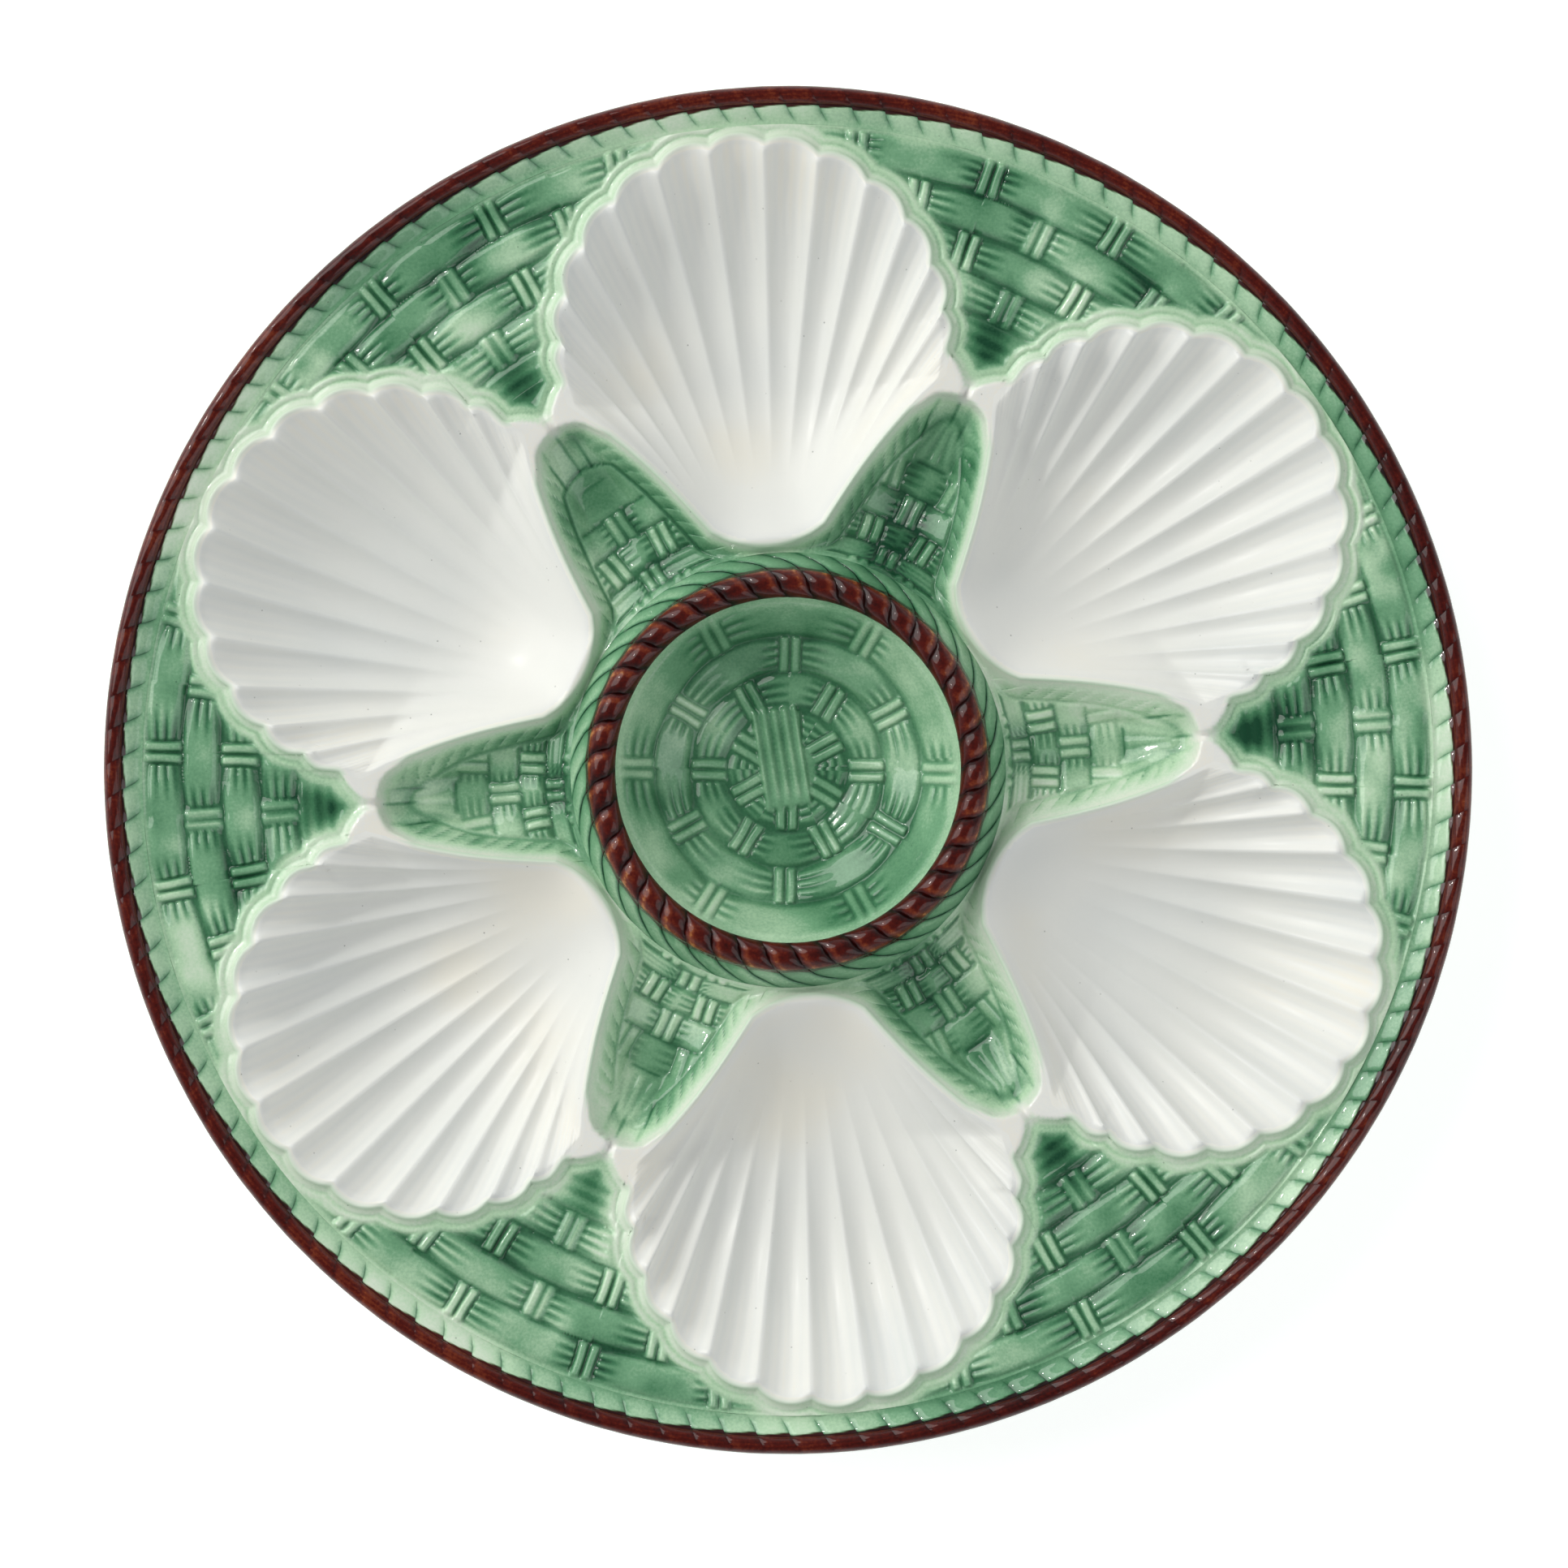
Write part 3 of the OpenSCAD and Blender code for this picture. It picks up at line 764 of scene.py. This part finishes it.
for k in range(SHELLS):
    wx, wy = swung(x, y, k)
    faint = (0.6 + 0.55 * uneven(wx, wy, 13, 77)) * past_bridge * (signed > 0)
    loose = 0.1 * uneven(wx, wy, 9, 21) * shown + second * faint
    cloud = 0.22 * uneven(wx, wy, 12, 31) + 0.14 * uneven(wx, wy, 4, 32)
    pool = 0.4 + cloud + (dark + 0.02) * shown + corner_dark + 0.1 * creases
    rim_pool = 0.25 + RIM_PATCHES * rim_patches(wx, wy)
    pool = mix(pool, rim_pool, 0.85 * ease(r, border_in_r - 2.2, border_in_r))
    pool = pool * mix(0.1, 1, ease(edge, 0.8, 5.2)) + line_dark * faint * ease(r, 75, 80)
    milk = np.maximum(on_lip, 1 - ease(np.hypot(r - MEET_R, np.radians(off) * r), 1.2, 4.2))
    panel(f"outer_weave_{k + 1}", wx, wy, outer_z + loose, outer_low_z, kept, pool, milk)

# %% [markdown]
# ## Inner panels
# These are sunk hollows between two flanks and the bowl. A border of slanting strands runs
# down inside the flanks and meets in a pointed arch, and a few rings of weave lie at its
# foot, next to the collar.

# %% Inner panel grid
finish = panel_edge(np.vstack([right_root, right_flank[1:]]))
steps = 86
x, y, r, off, signed, along, on_lip = panel_grid(on_circle(finish, collar_r), finish, steps)
end_r = np.linalg.norm(finish, axis=1)[:, None]
side_x = np.radians(off) * r
edge = np.maximum(signed, 0)
# Distance from the two flanks, rounded over this width where they are equally near
ARCH = 4.0
flank_a, flank_b = (near_path(x, y, placed(outline, k))[0] for k in (0, 1))
frame_d = -ARCH * np.log(np.exp(-flank_a / ARCH) + np.exp(-flank_b / ARCH))
frame_d = np.clip(frame_d + 0.25, 0, None)

# %% Inner panels
# How wide the border of slanting strands is, and where one row of weave ends and the next
# begins, from the collar outwards
BORDER = 3.5
ROW_ENDS = [38.6, 40.7, 43.9, 48.7, 54.4, 60.3]
# How far apart the slanting strands start, and how much they slant
HATCH_PITCH, HATCH_SLANT = 3.3, 0.42
# The ground's drop beside the lip, its drop across the border, and the least thickness
LIP_DROP, SINK, THINNEST = 0.9, 3.4, 2.2
# The round arch's radius, how far out its middle lies, and how far out the ledge lies
ROUND_R, ROUND_AT, LEDGE_AT = 7.5, 58.5, 60.6
# How much lower each arch springs together, and how full the brush was at each panel
ARCH_DROP = [0.0, 0.9, 0.4, 0.1, 0.0, 0.5]
FADE = [2.3, 2.6, 3.6, 3.3, 4.0, 2.3]
# How much farther out its rows of weave lie, and how sharply its arch is cut
ROW_SHIFT = [1.9, 0.0, -0.2, 0.0, 0.7, 0.3]
ARCH_CUT = [1.0, 0.55, 0.35, 0.5, 0.4, 0.6]
# How far its topmost band is worn away, and how clear the strands above that are
TOP_FADE = [0.9, 0.3, 0.5, 0.4, 0.4, 0.3]
UPRIGHT = [0.0, 0.8, 1.0, 1.3, 0.7, 1.3]
LEDGE = [0.35, 1.0, 0.7, 1.0, 0.9, 0.9]
# How much deeper the glaze lies on its right side than on its left
LOPSIDED = [-0.1, 0.03, 0.1, -0.12, -0.04, -0.14]
BRUSH = [0.0, 0.08, -0.1, 0.0, -0.12, 0.12]
floor_z = panel_z(r, collar_r, end_r, collar_z, lip_z(end_r) - lip_h, inner_sag)
slope_z = lip_z(r) - LIP_ROUND - LIP_DROP * (1 - np.exp(-edge / 0.62))
slope_z = slope_z - SINK * ease(frame_d, 0.1, 4.4)
far_collar = mix(
    ease(r, collar_r, collar_r + 1), ease(r, collar_r, collar_r + 4), ease(edge, 0, 3))
sunk_z = mix(slope_z, np.minimum(floor_z, slope_z), ease(frame_d, 2.8, 6.0))
base_z = mix(floor_z, sunk_z, far_collar)
phase = np.abs(along) / HATCH_PITCH + frame_d * HATCH_SLANT
saw = phase - np.floor(phase)
hatch = ease(saw, 0.0, 0.12) * (1 - 0.5 * ease(saw, 0.3, 1.0))
saddle = lip_z(r) - lip_h + lip_flank(edge)
inner_low_z = panel_z(r, collar_r, end_r, lip_root_z - wall, lip_z(end_r) - wall, inner_sag)
tile_edge = np.minimum(np.minimum(flank_a, flank_b), neck_r - r)
kept = picked(0, steps - 1, 6)
for k in range(SHELLS):
    level = np.interp(r - ROW_SHIFT[k] * ease(r, 41, 50), ROW_ENDS, [4, 3, 2, 1, 0, -1])
    # bands run on to the arch beyond the middle of their own span
    widest = np.where(np.floor(level) % 2 == 0, 6.3, 12.6)
    relief, dark = weave(level, r, np.clip(off, -widest, widest),
                         step=STAKE_STEP, offset=0.0, reach=4.0, line_end=6.0)
    border = BORDER + ARCH_DROP[k] * ease(r, 56, 66)
    in_border = ease(frame_d, 0.9, 1.6) * (1 - ease(frame_d, border - 0.4, border))
    in_border *= far_collar * ease(edge, 0.6, 1.6)
    in_border *= ease(np.abs(side_x), 1.4, 2.4) * (1 - ease(r, 68.5, 70.5))
    arch_d = frame_d - border
    if k == 0:  # this one is round
        dome = ROUND_R - np.hypot(side_x, r - ROUND_AT)
        arch_d = np.where(r > ROUND_AT, np.minimum(arch_d, dome), arch_d)
    arch = hump(arch_d, 0.28) * far_collar * ARCH_CUT[k]
    in_arch = ease(arch_d, 0.1, 0.9)
    shown = in_arch * (1 - ease(-level, 0.9, 1.0)) * ease(r, 39.6, 40.6)
    shown *= 1 - TOP_FADE[k] * ease(-level, -0.02, 0.12)
    lines = sum(hump(side_x - at, 0.22) for at in (-2.1, 0.4, 4.1)) * ease(r, 64, 66)
    lines *= (1 - in_arch) * ease(edge, 0.2, 1.0) * (1 - ease(r, 73, 74))
    ledge = hump(r - LEDGE_AT - ROW_SHIFT[k], 0.35) * in_arch * LEDGE[k]
    ledge *= 1 - ease(np.abs(side_x), 2.2, 3.4)
    upright = np.cos(side_x / np.maximum((74 - r) / 9, 0.45) * 3.3)
    upright *= in_arch * ease(r, 60.9, 62) * UPRIGHT[k]
    z = base_z + 0.3 * (hatch - 0.6) * in_border - 0.35 * arch + (relief - 0.5) * 0.72 * shown
    z = z - 0.4 * ledge + 0.16 * upright - 0.25 * lines
    z = mix(saddle, z, ease(neck_r - r, 0.3, 5.0))
    z = np.where(signed < 0, lip_crown(r, signed), z)
    wx, wy = swung(x, y, k)
    z = z + 0.08 * uneven(wx, wy, 5, 41) * far_collar * ease(tile_edge, 0.2, 3)
    cloud = 0.24 * uneven(wx, wy, 12, 51) + 0.12 * uneven(wx, wy, 4, 52)
    deep = 0.14 * (1 - ease(np.abs(side_x), 2, 7)) * ease(frame_d, 2, 7) * (1 + 3 * BRUSH[k])
    deep = deep + LOPSIDED[k] * np.clip(side_x / 7, -1, 1)
    pool = 0.28 + BRUSH[k] + cloud + deep + (0.85 * dark + 0.04) * shown
    pool = pool - 0.06 * upright + 0.4 * ledge
    pool = pool * mix(0.12, 1, ease(edge, 0.0, FADE[k])) + 0.38 * lines
    pool += (0.34 * arch + 0.28 * (0.9 - hatch) * in_border) * ease(edge, 0.8, 2.2)
    milk = np.maximum(on_lip, 1 - ease(np.hypot(r - MEET_R - 0.6, side_x), 0.6, 2.4))
    milk = np.maximum(milk, 0.4 * (1 - ease(edge, 0.0, 1.2)))
    low_z = np.minimum(inner_low_z, z - THINNEST)
    panel(f"inner_weave_{k + 1}", wx, wy, z, low_z, kept, pool, milk)

# %% [markdown]
# ## Dip bowl
# The bowl carries the same weave on four rings, six pairs of stakes to a ring, each ring
# turned half a step from the next. In the middle, a short bundle of straight strands
# covers where they all start.

# %% Bowl
# The middle of the bundle of straight strands, and the width and height of one strand
BUNDLE_X, BUNDLE_Y, BAR_W, BAR_H = 0.8, 2.4, 1.9, 0.26
turns = np.linspace(0, 2 * math.pi, 481)[:-1][::-1]
reach = np.concatenate([[0.0], np.linspace(0.35, bowl_r, 132)])
a, r = np.meshgrid(turns, reach, indexing="ij")
x, y = r * np.cos(a), r * np.sin(a)
share = r / bowl_r
bowl_z = mix(bowl_floor_z, rope_edge_z, share**4)
bowl_low_z = mix(bowl_floor_z - wall, rope_under_z, share**4)
relief, dark = weave((30.9 - r) / BOWL_RING_W, r, np.degrees(a),
                     step=60.0, offset=-5.7, reach=6.5, line_end=9.0)
bars_x, bars_y = turned(x, y, 90 - PLATE_TURN)
bars_x = -bars_x
bundle = 1 - ease(np.abs(bars_x - BUNDLE_X), 3.7, 4.5)
bundle *= 1 - ease(np.abs(bars_y - BUNDLE_Y), 8.4, 9.8)
bars = BAR_H * np.cos((bars_x - BUNDLE_X) * 2 * math.pi / BAR_W) * ease(bars_y, -8, -1)
shown = ease(r, 4.6, 5.6) * (1 - bundle) * (1 - ease(r, 29.6, 30.8))
softer = mix(0.55, 0.9, ease(r, 8, 22))
bowl_z = bowl_z + (relief - 0.5) * softer * shown + (0.5 + bars) * bundle
cloud = 0.2 * uneven(x, y, 12, 61) + 0.09 * uneven(x, y, 3.5, 62)
pool = 0.415 + cloud + (0.72 * dark + 0.05) * shown - 0.1 * bundle * bars / BAR_H
pool = mix(pool, 0.3, ease(r, 28.5, 30.5))
top = np.stack([x, y, bowl_z], -1)
kept = [0] + picked(1, len(reach) - 1, 18)
mesh = skin("glazed_dip_bowl", top, bowl_low_z[:, kept], kept,
            {"pool": np.clip(pool, 0, 1)}, wrap=True)


def weld(mesh, gap=1e-7):
    """Makes one point of those that lie on each other in the bowl's middle."""
    work = bmesh.new()
    work.from_mesh(mesh)
    bmesh.ops.remove_doubles(work, verts=work.verts, dist=gap)
    bmesh.ops.dissolve_degenerate(work, edges=work.edges, dist=gap)
    work.to_mesh(mesh)
    work.free()


weld(mesh)
piece(mesh, "dip_bowl", green_glaze)


# %% [markdown]
# ## Rings of strands
# Both ropes and the bands beside them repeat one strand all the way round. The strand is
# modelled once, as a leaning wedge of the ring between two grooves, and Geometry Nodes
# set out the copies: a line of points, an instance turned on each, and a slight wobble so
# that no two strands come out the same. The wobble depends on place alone, so neighbours
# still meet.

# %% Geometry Nodes ring
def strand_ring():
    tree = bpy.data.node_groups.new("ring of strands", "GeometryNodeTree")
    for key, kind in (("Geometry", "Geometry"), ("Strands", "Int"), ("Wobble", "Float"),
                      ("Glaze", "Material")):
        tree.interface.new_socket(key, in_out="INPUT", socket_type="NodeSocket" + kind)
    tree.interface.new_socket("Geometry", in_out="OUTPUT", socket_type="NodeSocketGeometry")
    given = tree.nodes.new("NodeGroupInput").outputs
    leave = tree.nodes.new("NodeGroupOutput")
    line = add(tree, "GeometryNodeMeshLine", Offset=(0, 0, 0), Count=given["Strands"])
    index = tree.nodes.new("GeometryNodeInputIndex").outputs[0]
    share = maths(tree, "DIVIDE", index, given["Strands"])
    euler = add(tree, "ShaderNodeCombineXYZ", Z=maths(tree, "MULTIPLY", share, 2 * math.pi))
    copies = add(tree, "GeometryNodeInstanceOnPoints", Points=line.outputs["Mesh"],
                 Instance=given["Geometry"], Rotation=euler.outputs[0])
    real = add(tree, "GeometryNodeRealizeInstances", Geometry=copies.outputs[0])
    place = tree.nodes.new("GeometryNodeInputPosition").outputs[0]
    cloud = add(tree, "ShaderNodeTexNoise", Scale=170, Vector=place)
    centred = add(tree, "ShaderNodeVectorMath", operation="SUBTRACT")
    feed(tree, centred.inputs[0], cloud.outputs["Color"])
    feed(tree, centred.inputs[1], (0.5, 0.5, 0.5))
    scaled = add(tree, "ShaderNodeVectorMath", operation="SCALE", Scale=given["Wobble"])
    feed(tree, scaled.inputs[0], centred.outputs[0])
    move = add(tree, "GeometryNodeSetPosition", Geometry=real.outputs[0],
               Offset=scaled.outputs[0])
    paint = add(tree, "GeometryNodeSetMaterial", Geometry=move.outputs[0],
                Material=given["Glaze"])
    tree.links.new(paint.outputs[0], leave.inputs[0])
    return tree


STRAND_RING = strand_ring()


def around(mesh, node, count, material, wobble, patches=0.0):
    """Copies of one strand's mesh round the plate, as one plain mesh. patches is how
    unevenly the glaze lies on it."""
    seed = put("strand_of_" + node, mesh)
    nodes = seed.modifiers.new("ring", "NODES")
    nodes.node_group = STRAND_RING
    values = {"Strands": count, "Wobble": wobble * MM, "Glaze": material}
    for item in STRAND_RING.interface.items_tree:
        if item.in_out == "INPUT" and item.name in values:
            nodes[item.identifier] = values[item.name]
    depsgraph = bpy.context.evaluated_depsgraph_get()
    baked = bpy.data.meshes.new_from_object(
        seed.evaluated_get(depsgraph), preserve_all_data_layers=True, depsgraph=depsgraph)
    baked.name = "glazed_" + node
    seed.modifiers.clear()
    bpy.data.objects.remove(seed)
    place = np.zeros(len(baked.vertices) * 3)
    baked.vertices.foreach_get("co", place)
    pool = np.zeros(len(baked.vertices))
    baked.attributes["pool"].data.foreach_get("value", pool)
    x, y = place.reshape(-1, 3)[:, :2].T / MM
    pool += patches * rim_patches(x, y)
    baked.attributes["pool"].data.foreach_set("value", np.clip(pool, 0.02, 1))
    piece(baked, node, None)


def strand(name, count, lean, r0, r1, low0, low1, profile, across_n, out_n):
    """One leaning strand between radii r0 and r1. lean(q) is how many strands' widths it has
    turned at q, from 0 to 1 outwards. profile(t, q) gives height and glaze, for t from -1 to
    1 across it."""
    pitch = 2 * math.pi / count
    t = np.linspace(1, -1, across_n)
    q = 0.5 - 0.5 * np.cos(np.linspace(0, math.pi, out_n))
    t, q = np.meshgrid(t, q, indexing="ij")
    r = mix(r0, r1, q)
    a = pitch * (t / 2 + lean(q))
    z, values = profile(t, q)
    top = np.stack([r * np.cos(a), r * np.sin(a), z], -1)
    kept = [0, out_n - 1]
    low = np.stack([np.full(across_n, low0), np.full(across_n, low1)], -1)
    return skin(name, top, low, kept, values)


# %% [markdown]
# The rim has two rings. The inner one carries the green ends of the strands, each cut
# slightly askew where it tucks under the rope, so that brown steps in between them. The
# outer one is the rope itself, brown, with shallow slanting grooves and fine fibres, and
# its glaze has run off the very edge and left a thin pale line.

# %% Rim
rope_end_r = plate_r - 0.08


def rim_end(t, q):
    fade = ease(q, 0.02, 0.55)
    crown = 1 - np.abs(t) ** 3
    z = mix(ground_tip_z, border_top_z, ease(q, 0.1, 1.05)) + 0.05
    z = z + (0.42 * crown + 0.1 * t - 0.32) * fade
    cut = 0.97 - 0.16 * (t + 1) / 2
    brown = ease(q, cut - 0.04, cut + 0.02)
    z = z - 0.18 * ease(q, cut - 0.08, cut + 0.02)
    pool = 0.2 + 0.34 * np.abs(t) ** 5 * fade + 0.14 * (1 - q)
    return z, {"pool": mix(pool, 0.85, brown), "brown": brown}


def rim_strand(t, q):
    across = 2 * q - 1
    crown = 1 - np.abs(t) ** 2.6
    base = mix(border_top_z, rim_edge_z, q)
    swell = np.sqrt(np.maximum(0, 1 - across**2)) ** 0.9
    fibres = np.cos(2 * math.pi * 4.5 * q + 1.4 * t) * swell
    groove = mix(0.42, 0.1, ease(q, 0.1, 0.75))
    z = base + (plate_h - 0.16 - base) * swell - groove * (1 - crown) * swell + 0.03 * fibres
    pool = 0.56 + 0.5 * groove * np.abs(t) ** 4 - 0.09 * fibres - 0.12 * hump(t + 0.6, 0.3) * swell
    bare = ease(mix(border_out_r, rope_end_r, q), plate_r - 0.34, plate_r - 0.14)
    return z, {"pool": mix(np.clip(pool, 0, 1), 0.1, bare), "tint": bare}


# How far a strand has turned where it tucks under the rope, whose strands go on from there
TUCK = 0.45
mesh = strand("rim_end", RIM_STRANDS, lambda q: TUCK * q**0.7, border_in_r, border_out_r,
              rim_under_z, rim_under_z, rim_end, across_n=19, out_n=17)
around(mesh, "rim_border", RIM_STRANDS, green_glaze, 0.22, RIM_PATCHES)
mesh = strand("rim_strand", RIM_STRANDS, lambda q: TUCK + RIM_LEAN * q, border_out_r,
              rope_end_r, rim_under_z, rim_edge_z - 0.6, rim_strand, across_n=19, out_n=19)
around(mesh, "rim_rope", RIM_STRANDS, brown_glaze, wobble=0.14, patches=0.12)


# %% [markdown]
# The bowl's rope is fatter, so its twist shows better: nearly black in the grooves, red
# brown on the strands, and amber along the ridge beside each groove, where the glaze runs
# thin. Outside it, the same strands carry on in green down the collar, and swing round
# until they lie nearly along it, like feathers.

# %% Bowl rope and collar
def bowl_strand(t, q):
    across = 2 * q - 1
    crown = 1 - np.abs(t) ** 2.6
    swell = np.sqrt(np.maximum(0, 1 - across**2))
    fibres = np.cos(2 * math.pi * 3 * q + 1.5 * t) * swell
    z = rope_edge_z + (bowl_rope_rise - 0.1) * swell - 0.9 * (1 - crown) * (0.35 + 0.65 * swell)
    z = z + 0.03 * fibres
    thin = 0.36 * hump(t + 0.55, 0.28) * ease(q, 0.1, 0.5) + 0.26 * ease(q, 0.8, 0.96) * crown
    pool = 0.6 + 0.4 * np.abs(t) ** 4 - thin - 0.06 * fibres + 0.12 * ease(t, 0.2, 0.9)
    return z, {"pool": np.clip(pool, 0, 1), "tint": 0.0}


def feather(t, q):
    crown = 1 - np.abs(t) ** 3.0
    z = mix(rope_edge_z, collar_z, q**0.8)
    z = z + (0.85 * crown + 0.12 * t - 0.55) * (1 - ease(q, 0.6, 1))
    nick = 0.1 + 0.1 * np.abs(t) ** 2
    brown = 1 - ease(q, nick - 0.06, nick + 0.04)
    pool = 0.5 + 0.5 * np.abs(t) ** 5 * (1 - 0.3 * q) - 0.2 * crown * ease(t, -1, 1)
    pool = pool + 0.12 * (1 - ease(q, 0.1, 0.4))
    return z, {"pool": mix(np.clip(pool, 0, 1), 0.85, brown), "brown": brown}


# How far a strand turns across the rope, before it goes on down the collar
TWIST = 0.6
mesh = strand("bowl_strand", BOWL_STRANDS,
              lambda q: TWIST * (q + 0.08 * np.sin(2 * math.pi * q)), bowl_r, rope_out_r,
              rope_under_z, rope_under_z, bowl_strand, across_n=31, out_n=27)
around(mesh, "bowl_rope", BOWL_STRANDS, brown_glaze, wobble=0.35)
mesh = strand("feather", BOWL_STRANDS, lambda q: TWIST + 0.4 * q + 0.8 * q**2, rope_out_r,
              collar_r, rope_under_z, lip_root_z - wall, feather, across_n=31, out_n=25)
around(mesh, "bowl_collar", BOWL_STRANDS, green_glaze, wobble=0.3)

# %% [markdown]
# ## Foot
# The foot is plain turned work, so its solids stay as they are and only get their finish:
# green glaze on the wall, and bare clay on the ring that was wiped clean before firing.

# %% Foot
for node, material in (("foot_wall", green_glaze), ("foot_ring", dry_foot)):
    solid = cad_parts[node]
    solid.data.materials.clear()
    solid.data.materials.append(material)

# %% [markdown]
# ## Camera and light
# The photograph looks straight down, and shows the plate turned by 4.7 degrees. The light
# is broad and soft from the upper left. The floor glows white only to rays that look at it,
# so the ground stays white without more light on the plate, and keeps the plate's shadow.

# %% Camera
PHOTO_PX = 1932
RIM_CENTRE_PX = (971.0, 948.6)
RIM_RADIUS_PX = 846.1
mm_per_px = plate_r / RIM_RADIUS_PX
frame_w = PHOTO_PX * mm_per_px
lens = bpy.data.cameras.new("camera")
lens.sensor_width, lens.lens = 36.0, 100.0
camera = put("camera", lens)
aside = (PHOTO_PX / 2 - RIM_CENTRE_PX[0]) * mm_per_px
down = (RIM_CENTRE_PX[1] - PHOTO_PX / 2) * mm_per_px
away = frame_w * lens.lens / lens.sensor_width + plate_h
over_x, over_y = turned(-down, aside, -PLATE_TURN)
camera.location = (over_x * MM, over_y * MM, away * MM)
camera.rotation_euler = (0, 0, math.radians(-PLATE_TURN))
bpy.context.scene.camera = camera
print(f"camera {away:.0f} mm up, frame {frame_w:.1f} mm wide")


# %% Light
def lamp(name, place, size, power, colour):
    """A round lamp that shines at the plate's middle."""
    light = bpy.data.lights.new(name, "AREA")
    light.shape, light.size, light.energy = "DISK", size, power
    light.color = colour
    made = put(name, light)
    made.location = place
    x, y, z = place
    made.rotation_euler = (math.atan2(math.hypot(x, y), z), 0, math.atan2(-y, -x) - math.pi / 2)


lamp("window", (-0.68, 0.54, 0.72), size=0.08, power=1.5, colour=(1.0, 0.975, 0.93))
lamp("wide window", (-0.9, 0.72, 0.95), size=1.5, power=16.4, colour=(1.0, 0.985, 0.96))
lamp("room", (0.70, -0.40, 0.75), size=0.9, power=2.3, colour=(1.0, 1.0, 1.0))


def seen_white(tree, plain, bright):
    """The plain shader, with the bright one in its place for rays that look at it directly
    or in gloss or glass."""
    path = tree.nodes.new("ShaderNodeLightPath").outputs
    looks = maths(tree, "ADD", path["Is Camera Ray"], path["Is Glossy Ray"])
    looks = maths(tree, "ADD", looks, path["Is Transmission Ray"], clamp=True)
    both = add(tree, "ShaderNodeMixShader", Fac=looks)
    tree.links.new(plain, both.inputs[1])
    tree.links.new(bright, both.inputs[2])
    return both.outputs[0]


# The sky of the studio is white near the horizon and a soft grey above, where the camera is
SKY_STOPS = [(0.0, (1, 1, 1, 1)), (0.12, (1, 1, 1, 1)), (0.5, (0.322, 0.335, 0.35, 1)),
             (0.9, (0.12, 0.125, 0.135, 1))]
world = bpy.data.worlds.new("studio")
bpy.context.scene.world = world
world.use_nodes = True
tree = world.node_tree
direction = tree.nodes.new("ShaderNodeTexCoord").outputs["Generated"]
split = add(tree, "ShaderNodeSeparateXYZ", Vector=direction)
tree.links.new(ramp(tree, split.outputs["Z"], SKY_STOPS),
               tree.nodes["Background"].inputs["Color"])

# %% Floor
FLOOR_HALF, FLOOR_GLOW = 3.0, 0.66
floor_mesh = bpy.data.meshes.new("floor")
floor_mesh.from_pydata(
    [(i * FLOOR_HALF, j * FLOOR_HALF, 0) for i, j in ((-1, -1), (1, -1), (1, 1), (-1, 1))],
    [], [(0, 1, 2, 3)])
floor = put("floor", floor_mesh)
paper, tree, matt = new_material("white paper")
matt.inputs["Base Color"].default_value = (0.8, 0.8, 0.8, 1)
matt.inputs["Roughness"].default_value = 0.9
glow = add(tree, "ShaderNodeEmission", Strength=FLOOR_GLOW)
lit = tree.nodes.new("ShaderNodeAddShader")
tree.links.new(matt.outputs[0], lit.inputs[0])
tree.links.new(glow.outputs[0], lit.inputs[1])
tree.links.new(seen_white(tree, matt.outputs[0], lit.outputs[0]),
               tree.nodes["Material Output"].inputs["Surface"])
floor_mesh.materials.append(paper)

bpy.context.scene.view_settings.view_transform = "Standard"
